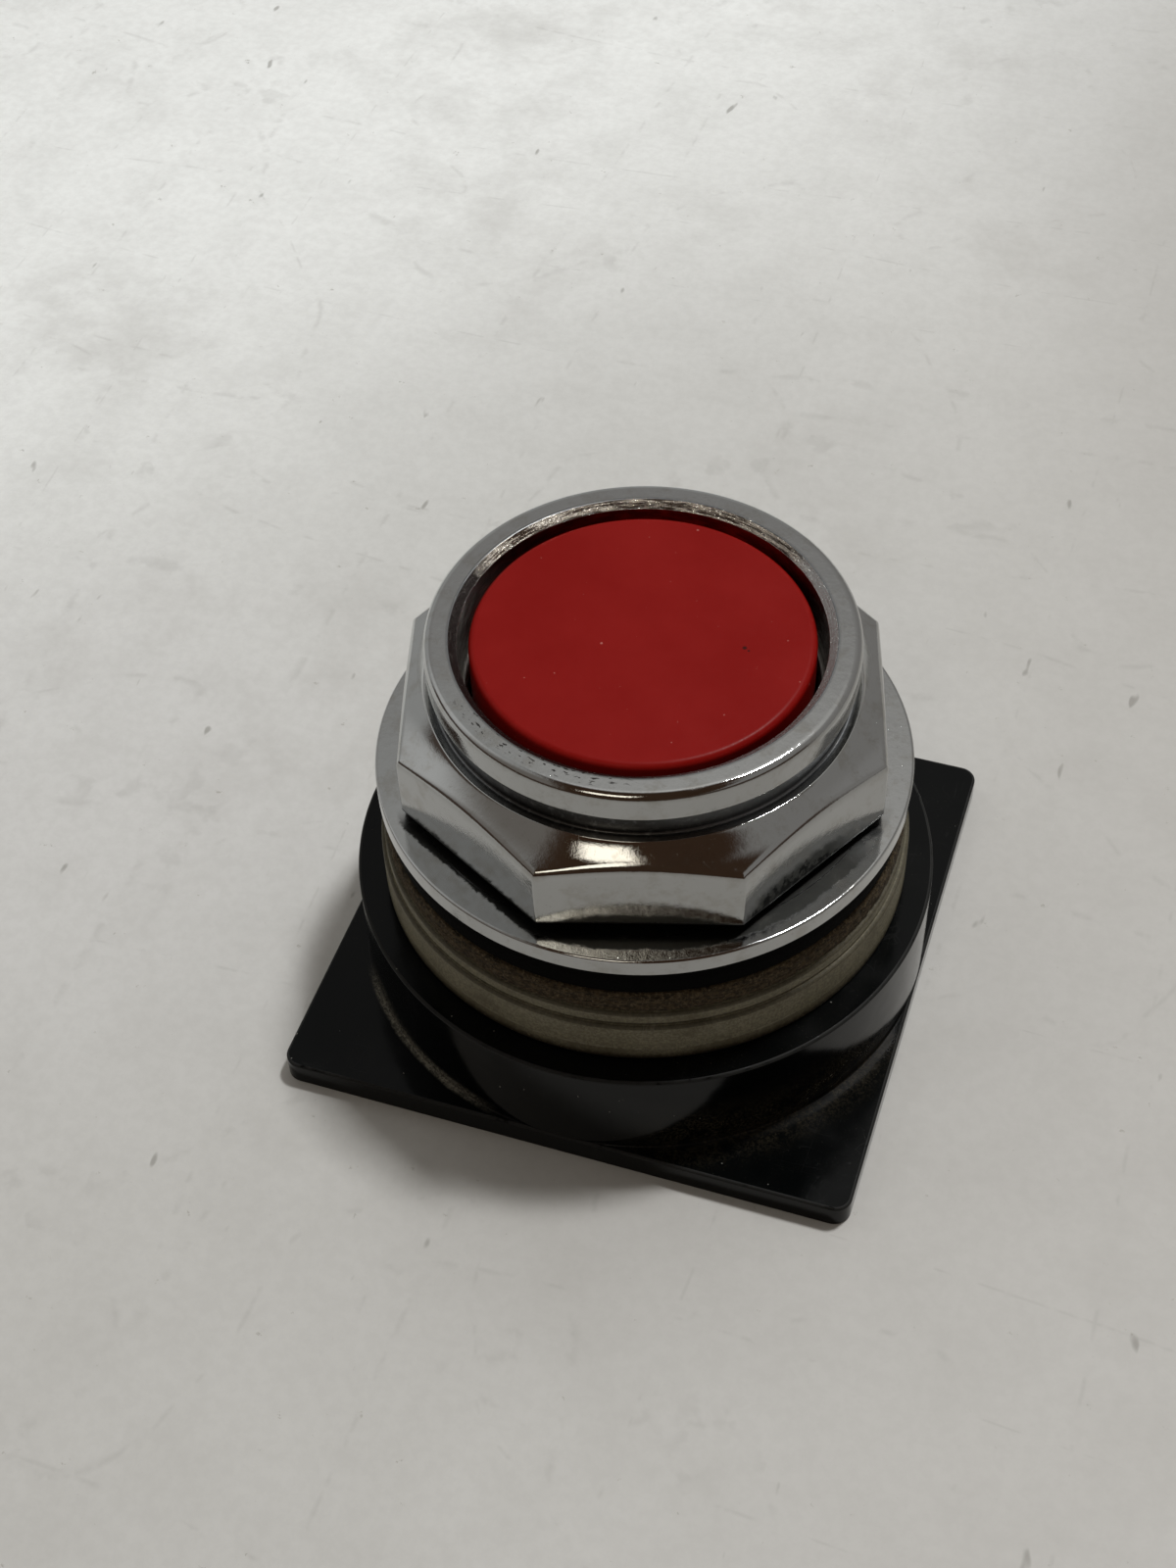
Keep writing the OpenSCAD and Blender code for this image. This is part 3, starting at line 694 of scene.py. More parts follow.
# Painted shade and dark reflection in the neck, at the foot of the flats, along the collar's inner top edge
# and in the other inner corners, darkest at the front and paler at the sides.
corner_shade_mask = spread(-edge, 0.2, 0.9)
painted_corner_shade = corner_shade_mask * spread(ragged, 0.3, 0.5, 0.75, 0.97)
painted_corner_shade_colour = lay((0.02, 0.018, 0.017), (spread(abs(direction), 0.25, 0.7), (0.125, 0.13, 0.135)))

# Nicks along the rim of the collar, at the front left.
rim_low, rim_top = 0.03348, 0.0335
round_the_rim = together(direction * 0.015, from_axis, 0.0)
on_the_rim = spread(across["Z"], rim_low, rim_top) * fade(from_axis, 0.01435, 0.0146)
near_the_front = spread(direction, -0.9, -0.6) * fade(direction, 0.1, 0.35)
nicks = spread(noise(round_the_rim, 1.5, 2, 0.5, (1.0, 3.0, 1.0)), 0.6, 0.64) * on_the_rim * near_the_front

# Painted shade and dark reflection on the washer beside the nut, at the front and sides. It ends raggedly,
# along the nut's flats.
nut_turn, washer_low, washer_top = -6.2, 0.02154, 0.0217
from_flats = 0.0
for turned_by in (math.radians(nut_turn + 22.5 + 45 * k) for k in range(4)):
    along = across["X"] * math.cos(turned_by) + across["Y"] * math.sin(turned_by)
    from_flats = calc("MAXIMUM", abs(along), from_flats)
torn = (ragged - 0.5) * 0.0009
to_the_flats = from_flats + torn - spread(direction, -0.2, 0.15) * 0.0009
painted_shade_by_flats = fade(from_axis + torn, 0.01865, 0.019) * fade(to_the_flats, 0.0176, 0.0178)
painted_shade_by_flats = painted_shade_by_flats * spread(direction, -0.95, -0.82) * fade(direction, 1.2, 1.6)
painted_shade_by_flats = painted_shade_by_flats * fade(across["Z"], washer_low, washer_top)
# A thin ring where the painted shade is lighter.
thin_lighter_ring = spread(abs(from_axis - (torn * 0.06 + 0.0175)), 0.00002, 0.00006, 0.75, 0.0)
painted_shade_by_flats = painted_shade_by_flats * (1.0 - thin_lighter_ring * spread(ragged, 0.35, 0.5))

# Dark tarnish that has crept up the flat at the right from the nut's foot.
above_foot = across["Z"] - 0.0224
right_flat = spread(direction, 0.66, 0.8) * fade(direction, 1.0, 1.32)
drawn_up = spread(noise(place, 2.4, 5, 0.75, (0.7, 0.7, 0.5)), 0.35, 0.65, 0.0, 0.0021)
dark_foot = spread(drawn_up * right_flat - above_foot, 0.0, 0.00012) * spread(above_foot, -0.0001, 0.0)

colour = lay(
    (0.43, 0.435, 0.43),
    (spread(stained, 0.48, 0.66, 0.0, 0.6), (0.34, 0.33, 0.305)),
    (spread(mottled, 0.6, 0.7, 0.0, 0.35), (0.25, 0.235, 0.21)),
    # Painted shade in the inner corners.
    (painted_corner_shade, painted_corner_shade_colour),
    (nicks * 0.92, (0.03, 0.025, 0.022)),
    # Painted shade on the washer beside the flats.
    (painted_shade_by_flats * spread(mottled, 0.62, 0.72, 0.97, 0.85), (0.026, 0.026, 0.023)),
    (dark_foot * 0.9, (0.02, 0.022, 0.026)),
    (pitted * 0.6, (0.12, 0.11, 0.1)))
haze = spread(stained, 0.5, 0.72, 0.05, 0.15) + spread(mottled, 0.55, 0.72, 0.0, 0.1)
haze = haze + marked * 0.15 + greatest(painted_shade_by_flats, corner_shade_mask) * 0.3
feed(shader, {"Base Color": colour, "Roughness": haze, "Metallic": 1.0})
relief(shader, (grain["Unevenness"], 0.03), (waves, 0.0075), (ragged, 0.008), (grain["Relief"], 0.0016),
       (-pitted, 0.004))

# Turning marks: noise drawn out along the circles round the axis, as a cutting tool leaves it.
turning_marks, given, put = effect("turning marks", {"Per mm": 3, "Drawn out": 0.1}, ["Relief"])
flat_part = vector("MULTIPLY", given["Coordinates"], (1, 1, 0))
ahead = parts(vector("NORMALIZE", flat_part))
drawn_out = given["Drawn out"] * 0.015
outward = parts(given["Coordinates"])["Z"] + vector("LENGTH", flat_part) * 1.7
drawn = together(ahead["X"] * drawn_out, ahead["Y"] * drawn_out, outward)
feed(put, {"Relief": noise(drawn, given["Per mm"], 5, 0.7)})

cut_lip, shader, place, edge = start_material("cut lip")
streaks = use(turning_marks, place, Per_mm=2.6, Drawn_out=0.12)["Relief"]
chips = noise(place, 1.3, 6, 0.8)
# The lip's colour is painted reflection by side: streaks and bright chips at the back as painted glints,
# bright specks along its edges, and elsewhere dark at the left and light at the right.
towards_back = vector("DOT_PRODUCT", place, (-0.309, 0.951, 0.0))
towards_right = vector("DOT_PRODUCT", place, (0.951, 0.309, 0.0))
lip_reflection_by_side = lay((0.035, 0.03, 0.028), (spread(towards_right, -0.002, 0.006), (0.4, 0.4, 0.39)))
colour = lay(
    (0.05, 0.035, 0.026),
    (spread(streaks, 0.44, 0.54), (0.5, 0.46, 0.4)),
    (spread(chips, 0.56, 0.64, 0.0, 0.8), (0.85, 0.83, 0.74)),
    (fade(towards_back + chips * 0.003, 0.0072, 0.0095), lip_reflection_by_side),
    (edge * spread(chips, 0.4, 0.55, 0.2, 0.9), (0.55, 0.55, 0.53)))
feed(shader, {"Base Color": colour, "Roughness": spread(chips, 0.35, 0.65, 0.3, 0.16), "Metallic": 1.0})
relief(shader, (chips, 0.1), (streaks, 0.06))

# Near black, as painted shade: the nut's seat under the flats and the bore below the bushing.
shaded_casting, shader, place, edge = start_material("casting in painted shade")
streaks = use(turning_marks, place, Per_mm=2.0, Drawn_out=0.5)["Relief"]
colour = lay((0.006, 0.004, 0.003), (spread(streaks, 0.45, 0.75), (0.03, 0.022, 0.017)))
feed(shader, {"Base Color": colour, "Roughness": spread(streaks, 0.3, 0.7, 0.65, 0.42), "Metallic": 0.6})
relief(shader, (streaks, 0.05))

dull_bore, shader, place, edge = start_material("dull bore")
streaks = use(turning_marks, place, Per_mm=1.6, Drawn_out=0.3)["Relief"]
colour = lay((0.22, 0.2, 0.18), (spread(streaks, 0.4, 0.65), (0.5, 0.48, 0.45)))
feed(shader, {"Base Color": colour, "Roughness": spread(streaks, 0.3, 0.7, 0.26, 0.14), "Metallic": 1.0})
relief(shader, (streaks, 0.03))

chrome_washer = plain_ring("chrome_washer", "trim_washer", 15.3, [0.15, 0.12, 0.2, 0.15], 6, full_turn(256))
fit(chrome_washer, bright_chrome, "chrome_plate", "washer", "trim_washer")

low, high = box_mm("ring_nut")
seat, top = low[2], high[2]
flats_low = seat + 0.85
flat_distance, flat_turn, flat_corner = 17.1, math.radians(nut_turn), 0.22
neck, collar, collar_low, ledge = 14.8, 15.3, top - 2.35, top - 4.15
lip_outside, lip_inside, lip_low = 13.55, 12.97, top - 0.5
flare_centre, flare_radius, flare_start = (20.409, top + 0.571), 6.8, 15.66
corner_steps = np.radians([-4, -2, -1.0, -0.6, -0.4, -0.25, -0.12, 0, 0.12, 0.25, 0.4, 0.6, 1.0, 2, 4])
eighth = np.concatenate([corner_steps, np.radians(np.linspace(4, 41, 27))[1:-1]])
nut_angles = np.sort(np.concatenate([eighth + flat_turn + k * np.pi / 4 for k in range(8)]) % (2 * np.pi))


def rounded_polygon(flat, corner, sides, turn, angle):
    """Distance from the centre to a polygon with small round corners, in each direction. Along a flat it is
    the flat's distance over the cosine of the angle from its middle; near a corner it is the far root of the
    corner's circle."""
    half = np.pi / sides
    off = np.abs((angle - turn + half) % (2 * half) - half)
    centre = (flat - corner) / math.cos(half)
    reach = math.atan2(corner * math.sin(half), centre + corner * math.cos(half))
    bend = centre * np.cos(off) + np.sqrt(np.maximum(corner**2 - (centre * np.sin(off)) ** 2, 0))
    return np.where(off < reach, bend, flat / np.cos(half - off))


flats = rounded_polygon(flat_distance, flat_corner, 8, flat_turn, nut_angles)[None]


def flare_height(radius):
    """Height of the hollow flare, an arc whose centre lies outside and above it."""
    return flare_centre[1] - np.sqrt(flare_radius**2 - (radius - flare_centre[0]) ** 2)


foot_outline, foot_edges = (v[:-1] for v in soften(
    [(15.05, seat + 0.5), (15.55, seat), (16.4, seat), (16.4, flats_low), (30, flats_low)],
    [0, 0.1, 0.15, 0.1, 0], 4))
foot_bend = 0.12
lower_bend = np.linspace(0, np.pi / 2, 5)[:, None]
lower_reach = flats - foot_bend + foot_bend * np.sin(lower_bend)
lower_height = flats_low + foot_bend - foot_bend * np.cos(lower_bend)
bend = 0.6
edge_height = flare_height(flats)
flat_rows = np.linspace(0.04, 0.96, 8)[:, None]
flat_height = lower_height[-1:] + (edge_height - bend - lower_height[-1:]) * flat_rows
s = np.linspace(0, 1, 8)[:, None]
knee = flats - bend * 0.8
knee_reach = (1 - s) ** 2 * flats + 2 * s * (1 - s) * flats + s**2 * knee
knee_height = (1 - s) ** 2 * (edge_height - bend) + 2 * s * (1 - s) * edge_height + s**2 * flare_height(knee)
s = np.linspace(0.03, 1, 22)[:, None]
flare_reach = knee + (flare_start - knee) * s
upper_outline, upper_edges = soften(
    [(flare_start, flare_height(flare_start)), (flare_start - 0.12, ledge), (neck, ledge - 0.06),
     (neck, collar_low - 0.1), (collar, collar_low + 0.06), (collar, top), (13.85, top), (lip_outside, top),
     (lip_inside, lip_low), (12.95, bushing_top + 0.1), (15.05, bushing_top + 0.1), (15.05, seat + 0.5)],
    [0, 0.11, 0.2, 0.12, 0.14, 0.8, 0, 0.1, 0.08, 0.1, 0.1, 0], 7)
upper_reach, upper_height = upper_outline.T
# Negative edge values along the collar's inner top edge and in the neck carry the chrome's painted corner
# shade.
upper_edges = np.where((upper_reach < lip_outside + 0.15) & (upper_height > top - 0.06), -0.75, upper_edges)
in_neck = (upper_reach < neck + 0.35) & (upper_height > ledge - 0.2)
upper_edges = np.where(in_neck & (upper_height < collar_low + 0.1), -0.8, upper_edges)
ring_nut_reach = all_round(nut_angles, foot_outline[:, 0], lower_reach, flats + 0 * flat_rows, knee_reach,
                           flare_reach, upper_reach[1:-1])
ring_nut_height = all_round(nut_angles, foot_outline[:, 1], lower_height, flat_height, knee_height,
                            flare_height(flare_reach), upper_height[1:-1])
bare_rows = np.zeros(len(flat_rows) - 1 + len(knee_reach) + len(flare_reach))
# The foot of the flats gets -1 and -0.4, for the chrome's painted corner shade there.
ring_nut_edges = np.concatenate(
    [foot_edges, -np.ones(len(lower_reach)), [-0.4], bare_rows, upper_edges[1:-1]])
chrome_nut = turned("chrome_nut", ring_nut_reach, ring_nut_height, ring_nut_edges, nut_angles)
fit(chrome_nut, bright_chrome, "chrome_plate", "ring_nut", "ring_nut")
for inside in (cut_lip, shaded_casting, dull_bore):
    chrome_nut.data.materials.append(inside)
as_cut, as_shaded, as_dull = 1, 2, 3
row_reach, row_height = ring_nut_reach.min(1), ring_nut_height.min(1)
lip_start = np.flatnonzero(row_reach < lip_outside - 0.01)[0]
bore_start = np.flatnonzero((row_reach < lip_inside + 0.02) & (row_height < lip_low + 0.05))[0]
surface = np.zeros(len(row_reach), np.int32)
surface[:len(foot_outline) + 1] = as_shaded
surface[lip_start:bore_start] = as_cut
surface[bore_start:] = np.where(row_height[bore_start:] > bushing_top + 0.3, as_dull, as_shaded)
chrome_nut.data.polygons.foreach_set("material_index", np.repeat(surface, len(nut_angles)))


# Wiper seal, dust boot and spring seat. The seal sits in the bushing's groove and wipes the cap's skirt; the
# rubber bellows stands round the spring; the steel ring holds the bellows' foot down and carries the spring.
wiper_middle, lip = (wiper_low + wiper_high) / 2, 12.24
wiper_outline = soften(
    [(wiper_reach - 0.01, wiper_low), (wiper_reach - 0.01, wiper_high), (cap_bore, wiper_high),
     (lip, wiper_middle + 0.25), (lip, wiper_middle - 0.2), (cap_bore, wiper_low)],
    [0.15, 0.15, 0.1, 0.1, 0.1, 0.1], 4)[0]
fit(turned("wiping_ring", *wiper_outline.T), black_rubber, "black_rubber", "base", "wiper_seal")

low, high = box_mm("dust_boot")
boot_low, boot_foot, boot_top, boot_hole = low[2], low[2] + 0.6, high[2], 6.72
boot_rise = np.linspace(boot_foot + 0.25, boot_top - 0.9, 97)
fold = -0.37 * np.cos((boot_rise - boot_foot - 0.25) / (boot_top - boot_foot - 1.15) * 12 * np.pi)
outer_wall = np.stack([9.38 + fold + 0.2, boot_rise], 1)
inner_wall = np.stack([9.38 + fold - 0.2, boot_rise], 1)[::-1]
boot_outline = np.concatenate([
    [(boot_hole, boot_low), (12.1, boot_low), (12.2, boot_low + 0.1), (12.2, boot_foot - 0.1)],
    [(12.1, boot_foot), (9.7, boot_foot), (9.3, boot_foot + 0.08)], outer_wall,
    [(10.2, boot_top - 0.7), (10.28, boot_top - 0.6), (10.28, boot_top - 0.05), (8.85, boot_top - 0.02)],
    inner_wall, [(8.78, boot_foot + 0.05), (8.6, boot_foot), (boot_hole, boot_foot)],
])
rubber_bellows = turned("rubber_bellows", *boot_outline.T, 0.0, round_angles[::2])
fit(rubber_bellows, black_rubber, "black_rubber", "base", "dust_boot")
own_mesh(rubber_bellows)

plated_steel, shader, place, edge = start_material("plated steel")
grain = use(fine_grain, place, Per_mm=5.0)
worn = use(rubbed_edges, place, Edge=edge, Wear=0.7, Per_mm=2.0)["Mask"]
marked = use(hairlines, place, Amount=0.8, Per_mm=1.0)["Mask"]
colour = lay((0.47, 0.46, 0.44), (grain["Unevenness"], (0.56, 0.56, 0.56)), (worn, (0.68, 0.68, 0.67)))
dulled = spread(grain["Relief"], 0.2, 0.8, 0.22, 0.36) + marked * 0.2
feed(shader, {"Base Color": colour, "Roughness": dulled, "Metallic": 1.0})
relief(shader, (grain["Relief"], 0.002))

steel_seat = plain_ring("steel_spring_seat", "spring_seat", boot_hole, [0.1, 0.1, 0.2, 0.2], 4,
                        round_angles[::2])
fit(steel_seat, plated_steel, "steel", "base", "spring_seat")


# Return spring. A coil of 1 mm music wire with a closed turn at each end, both ground flat. It stands on its
# seat inside the bellows and lifts the cap.
def drawn_along(name, reach, height, angle):
    """Carries a section along a line round the Z axis, with a flat face at each end. Each row of reach and
    height is the section at one angle, and its points lie at (reach cos angle, reach sin angle, height)."""
    points = np.stack([reach * np.cos(angle), reach * np.sin(angle), height], -1).reshape(-1, 3) * 0.001
    here = np.arange(reach.size).reshape(reach.shape)
    side = np.stack([here[:-1], here[1:], np.roll(here[1:], -1, 1), np.roll(here[:-1], -1, 1)], -1)
    faces = side.reshape(-1, 4).tolist() + [here[0].tolist(), here[-1, ::-1].tolist()]
    mesh = bpy.data.meshes.new(name)
    mesh.from_pydata(points, [], faces)
    return finish_mesh(mesh)


low, high = box_mm("return_spring")
wire, coil_radius, coils, closed_turns = 0.5, 7.85, 8, 1.0
part = np.linspace(0, coils, 48 * coils + 1)[:, None]
gain = np.interp(part, [0, closed_turns, coils - closed_turns, coils],
                 [low[2] + wire, low[2] + 3 * wire, high[2] - 3 * wire, high[2] - wire])
a = full_turn(16)[None]
reach = coil_radius + wire * np.cos(a) + 0 * part
height = np.clip(gain + wire * np.sin(a), low[2] + 0.02, high[2] - 0.02)
wire_spring = drawn_along("wire_spring", reach, height, 2 * np.pi * part)
fit(wire_spring, plated_steel, "steel", "base", "return_spring")
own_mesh(wire_spring)


# Stem, jam nut, cap insert, disc clip. Turned and zinc-plated steel stem with screwed ends; a small hexagon
# nut locks it against the brass insert in the cap, and a spring clip in its groove carries the disc.
low, high = box_mm("plunger_stem")
clip_low, clip_high = (v[2] for v in box_mm("disc_clip"))
disc_high = box_mm("actuator_disc")[1][2]
nut_low, nut_high = (v[2] for v in box_mm("jam_nut"))
stem_outline, stem_edges = soften(
    [(0, low[2]), (2.5, low[2]), (2.5, clip_low), (2.0, clip_low), (2.0, clip_high), (2.5, clip_high),
     (2.5, disc_high), (3.0, disc_high), (3.0, nut_low), (2.5, nut_low), (2.5, high[2]), (0, high[2])],
    [0, 0.4, 0.05, 0.05, 0.05, 0.05, 0.05, 0.15, 0.2, 0.05, 0.4, 0], 5)
steel_stem = turned("steel_stem", *stem_outline.T, stem_edges, round_angles[::2], closed=False)
fit(steel_stem, plated_steel, "steel", "button", "plunger_stem")

sixth = np.radians([-3, -1.2, -0.5, 0, 0.5, 1.2, 3, 9, 15, 21, 27, 33, 39, 45, 51])
hex_angles = np.sort(np.concatenate([sixth + k * np.pi / 3 for k in range(6)]) % (2 * np.pi))
hexagon = rounded_polygon(4.0, 0.15, 6, 0, hex_angles)[None]
nut_rows = np.array([(2.55, nut_low), (4.0, nut_low), (4.62, nut_low + 0.35), (4.62, nut_high - 0.35),
                     (4.0, nut_high), (2.55, nut_high)])
nut_reach = np.minimum(nut_rows[:, :1], hexagon)
small_nut = turned("small_hexagon_nut", nut_reach, nut_rows[:, 1:], 0.0, hex_angles)
fit(small_nut, plated_steel, "steel", "button", "jam_nut")

low, high = box_mm("cap_insert")
insert_low, insert_high = low[2], high[2]
insert_rise = np.linspace(insert_low + 0.3, insert_high - 0.3, 60)
knurl = 0.08 * np.abs((insert_rise / 0.5) % 1 - 0.5) * 2
cap_insert_outline = np.concatenate([
    [(0, insert_high - 0.35), (2.52, insert_high - 0.35), (2.52, insert_low + 0.3), (2.8, insert_low),
     (4.5, insert_low)], np.stack([4.58 - knurl, insert_rise], 1), [(4.5, insert_high), (0, insert_high)]])
thread_insert = turned("cap_thread_insert", *cap_insert_outline.T, 0.0, round_angles[::2], closed=False)
fit(thread_insert, turned_brass, "brass", "button", "cap_insert")

clip_half, clip_reach = 1.3, 4.58
opening = math.asin(clip_half / 4.6) + 0.02
swing = np.linspace(opening, 2 * np.pi - opening, 145)
away = np.abs((swing - np.pi + np.pi / 3) % (2 * np.pi / 3) - np.pi / 3)
prong = np.where(away < 0.42, 2.02, 3.1)
prong = np.convolve(np.pad(prong, 2, mode="edge"), np.ones(5) / 5, "valid")
prong[:6], prong[-6:] = 2.05, 2.05
outside = clip_reach - 0.12 * np.cos(3 * (swing - np.pi)) ** 2 * (away > 0.42)
reach = np.stack([prong, outside, outside, prong], 1)
height = np.repeat([[clip_low + 0.02, clip_low + 0.02, clip_high - 0.02, clip_high - 0.02]], len(swing), 0)
clip = drawn_along("spring_clip", reach, height, swing[:, None])
rim = clip.modifiers.new("broken edges", "BEVEL")
rim.width, rim.segments, rim.limit_method = 0.00006, 2, "ANGLE"
fit(clip, plated_steel, "steel", "button", "disc_clip")


# Actuator disc. A white nylon disc on the stem's foot, with a shallow rim underneath, that presses the
# contact block's plungers all at once.
white_nylon, shader, place, edge = start_material("white nylon")
grain = use(fine_grain, place, Per_mm=4.0)
settled = use(dust, place, Edge=edge, Amount=0.5, Per_mm=3.0)
colour = lay((0.56, 0.55, 0.48), (grain["Unevenness"], (0.66, 0.65, 0.58)),
             (settled["Film"], (0.38, 0.34, 0.26)))
feed(shader, {"Base Color": colour, "Roughness": spread(grain["Relief"], 0.2, 0.8, 0.36, 0.52),
              "Subsurface Weight": 0.2, "Subsurface Radius": (0.9, 0.85, 0.7), "Subsurface Scale": 0.001})
relief(shader, (grain["Relief"], 0.006))

low, high = box_mm("actuator_disc")
disc_hole, disc_recess, disc_low = 2.52, 10.0, low[2]
disc_outline, disc_edges = soften(
    [(disc_hole, disc_low + 0.6), (disc_recess, disc_low + 0.6), (disc_recess, disc_low), (high[0], disc_low),
     (high[0], high[2]), (disc_hole, high[2])], [0.1, 0.25, 0.2, 0.3, 0.5, 0.1], 5)
fit(turned("nylon_disc", *disc_outline.T, disc_edges), white_nylon, "white_nylon", "button", "actuator_disc")


# Button cap. Red moulded cap with a hollow skirt. Its face is very slightly crowned and satin, with the fine
# texture of a vapour-blasted mould, a few pale specks and one dark speck pressed into it.
satin_red, shader, place, edge = start_material("satin red")
grain = use(fine_grain, place, Per_mm=7.0)
worn = use(rubbed_edges, place, Edge=edge, Wear=0.42, Per_mm=0.8)["Mask"]
specks = spread(noise(place, 2.2, 1), 0.79, 0.82)
tiny = spread(noise(place, 4.0, 1), 0.8, 0.83)
smudged = noise(place, 0.11, 4, 0.6)
dark_speck = [(spread(vector("DISTANCE", place, spot), size * 0.4, size, 0.85, 0.0), (0.012, 0.004, 0.003))
              for spot, size in (((0.00711, 0.00089, 0.0331), 0.00022), ((0.00745, 0.0007, 0.0331), 0.00012))]
colour = lay(
    (0.197, 0.0028, 0.0016),
    (spread(smudged, 0.35, 0.7), (0.22, 0.0048, 0.0032)),
    (worn * 0.25, (0.25, 0.012, 0.009)),
    (specks * 0.6, (0.5, 0.2, 0.17)),
    (tiny * 0.4, (0.45, 0.12, 0.1)),
    *dark_speck)
dulled = spread(grain["Relief"] + smudged * 0.6, 0.4, 1.2, 0.3, 0.46)
feed(shader, {"Base Color": colour, "Roughness": dulled, "Specular IOR Level": 0.09})
relief(shader, (grain["Unevenness"], 0.02), (grain["Relief"], 0.004))

low, high = box_mm("button_cap")
face, skirt, radius = high[2], low[2], high[0]
cavity, ceiling, post, bottom, pocket, sag = 10.3, face - 2.6, 6.5, insert_low, 4.6, 0.04
cap_outline, cap_edges = soften(
    [(0, ceiling + 0.4), (pocket, ceiling + 0.4), (pocket, bottom), (post, bottom), (post, ceiling),
     (cavity, ceiling), (cavity, skirt), (radius, skirt), (radius, face - sag), (0, face)],
    [0, 0, 0.1, 0.2, 0.3, 0.4, 0.15, 0.25, 0.5, 0], 10)
crown = np.linspace(0.93, 0.04, 14)[:, None] * (radius - 1.1)
crown = np.concatenate([crown, face - sag * (crown / radius) ** 2], 1)
cap_outline = np.concatenate([cap_outline[:-1], crown, [[0, face]]])
cap_edges = np.concatenate([cap_edges[:-1], np.zeros(len(crown) + 1)])
red_cap = turned("red_cap", *cap_outline.T, cap_edges, closed=False)
fit(red_cap, satin_red, "red_moulding", "button", "button_cap")


# Table. A pale laminate bench top that the base stands on. It is smudged in places, specked and faintly
# scratched, with light and shade painted into its colour: lighter towards the back left, a painted glow at
# the left, darker to the right and at the far right, and painted shadows in front of the base and behind the
# head.
pale_laminate, shader, place, edge = start_material("pale laminate")
across = parts(place)
# Painted light: lighter towards the back left.
painted_light_falloff = calc("POWER", spread(across["Y"] - across["X"] * 1.35, -0.06, 0.2), 2.2)
# Painted shade: darker at the far right and to the right.
painted_shade_far_right = spread(across["X"] + across["Y"] * 0.6, 0.05, 0.1)
painted_shade_right = spread(across["X"], 0.0, 0.042)
# Painted light at the left, and painted shadows in front of the base and behind the head.
painted_glow_left = vector("DISTANCE", place, (-0.052, -0.002, 0.0))
painted_shadow_front = vector("DISTANCE", place, (0.004, -0.024, 0.0))
painted_shadow_behind_head = vector("DISTANCE", place, (-0.018, 0.052, 0.0))
speck = spread(noise(place, 0.55, 5, 0.75), 0.66, 0.7)
dash = spread(noise(place, 0.5, 2, 0.5, (1.0, 0.35, 1.0)), 0.72, 0.78)
marked = use(hairlines, place, Amount=0.7, Per_mm=0.05)["Mask"]
colour = lay(
    (0.545, 0.541, 0.517),
    (painted_light_falloff, (0.92, 0.945, 0.93)),
    (painted_shade_far_right * 0.24, (0.3, 0.29, 0.28)),
    (painted_shade_right * 0.4, (0.42, 0.405, 0.378)),
    (spread(painted_glow_left, 0.01, 0.045, 0.45, 0.0), (0.66, 0.66, 0.65)),
    (spread(painted_shadow_front, 0.0, 0.026, 0.36, 0.0), (0.36, 0.345, 0.32)),
    (spread(noise(place, 0.9, 4, 0.7), 0.35, 0.65, 0.0, 0.1), (0.3, 0.29, 0.27)),
    (spread(painted_shadow_behind_head, 0.012, 0.045, 0.14, 0.0), (0.3, 0.29, 0.27)),
    (spread(noise(place, 0.03, 6, 0.65), 0.5, 0.75, 0.0, 0.3), (0.42, 0.405, 0.38)),
    (spread(noise(place, 0.12, 4, 0.6), 0.35, 0.7, 0.0, 0.09), (0.3, 0.29, 0.26)),
    (speck * 0.45, (0.22, 0.2, 0.16)),
    (dash * 0.55, (0.17, 0.16, 0.135)),
    (marked * 0.22, (0.22, 0.21, 0.19)))
feed(shader, {"Base Color": colour, "Roughness": 0.55})

half_table = 3.0
table_mesh = bpy.data.meshes.new("table")
table_mesh.from_pydata([(x, y, 0) for y in (-half_table, half_table) for x in (-half_table, half_table)], [],
                       [[0, 1, 3, 2]])
table_mesh.materials.append(pale_laminate)
table = new_object("table", table_mesh)


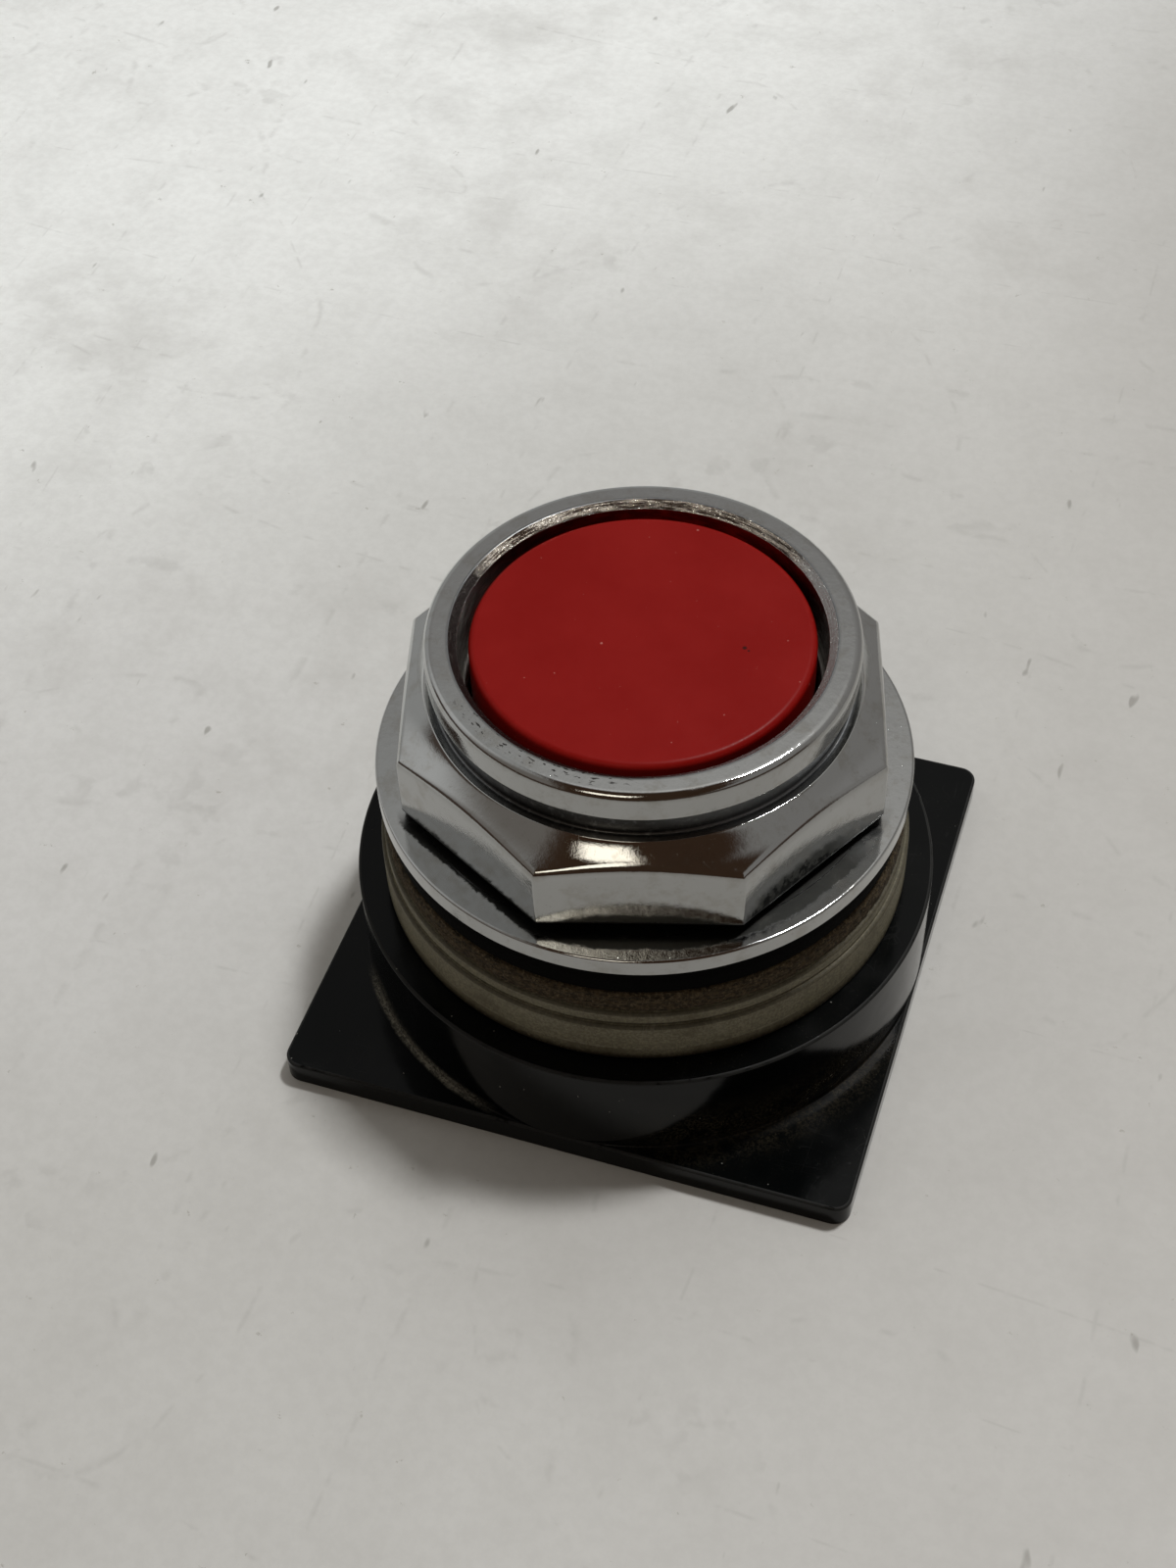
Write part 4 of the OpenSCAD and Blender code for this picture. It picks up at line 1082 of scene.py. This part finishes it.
# Light. A soft panel high at the back right, a wide warm panel in front over the camera, and a plain grey
# room that is dark in front and overhead, and bright high on its back wall.
def panel(name, azimuth, elevation, distance, width, depth, power, colour):
    """A soft lamp that looks at the head from a distance in metres. Its azimuth is in degrees from the front
    towards the right, and its elevation in degrees above the table."""
    data = bpy.data.lights.new(name, "AREA")
    data.shape, data.size, data.size_y = "RECTANGLE", width, depth
    data.energy, data.color = power, colour
    lamp = new_object(name, data)
    a, e = math.radians(azimuth), math.radians(elevation)
    back = np.array([math.sin(a) * math.cos(e), -math.cos(a) * math.cos(e), math.sin(e)])
    right = np.cross([0, 0, 1], back)
    right /= np.linalg.norm(right)
    axes = np.stack([right, np.cross(back, right), back], 1)
    middle_of_head = np.array([0, 0, 0.02])
    stand_at(lamp, axes, back * distance + middle_of_head)
    lamp.visible_camera = False


panel("side panel", 145, 67, 0.9, 0.11, 0.11, 5.2, (1.0, 1.0, 1.0))
panel("front panel", -2, 52, 1.0, 0.29, 0.3, 0.7, (1.0, 0.93, 0.79))

world = bpy.data.worlds.new("room")
bpy.context.scene.world = world
world.use_nodes = True
tree = world.node_tree
tree.nodes.clear()
ray = given_by(tree, add(tree, "TexCoord"))["Generated"]
axes = parts(ray)
sideways, forward, upward = axes["X"], -axes["Y"], axes["Z"]
behind = fade(forward, -0.45, -0.1)
eye_level = spread(upward, 0.5, 0.6) * fade(upward, 0.69, 0.76)
upper_wall = behind * spread(sideways, -0.3, -0.2)
window = vector("DOT_PRODUCT", ray, (-0.787, 0.0, 0.617))
left_front = spread(forward + upward * 0.3, 0.15, 0.7) * fade(sideways, -0.3, -0.1)
dark_ceiling = spread(upward, 0.84, 0.92) * (1.0 - behind)
dark = greatest(spread(upward * 0.9 + forward, 0.86, 0.98), dark_ceiling) * spread(sideways, -0.38, -0.29)
low_dark = fade(upward, 0.26, 0.36) * spread(forward, -0.2, -0.02)
room = lay(
    (0.45, 0.45, 0.44),
    (spread(sideways, -0.25, 0.1), (0.3, 0.29, 0.278)),
    (eye_level * behind, (0.345, 0.335, 0.325)),
    (upper_wall * spread(upward, 0.68, 0.78), (0.6, 0.59, 0.57)),
    (upper_wall * spread(upward, 0.8, 0.9), (0.9, 0.89, 0.87)),
    (spread(window, 0.89, 0.99), (0.68, 0.68, 0.67)),
    (left_front, (0.22, 0.2, 0.18)),
    (greatest(dark, low_dark * 0.9), (0.054, 0.031, 0.019)),
    (given_by(tree, add(tree, "LightPath"))["Is Camera Ray"], (0.62, 0.62, 0.6)))
background = add(tree, "Background", {"Color": room, "Strength": 1.0})
tree.links.new(background.outputs[0], add(tree, "OutputWorld").inputs["Surface"])

bpy.context.scene.view_settings.view_transform = "Standard"
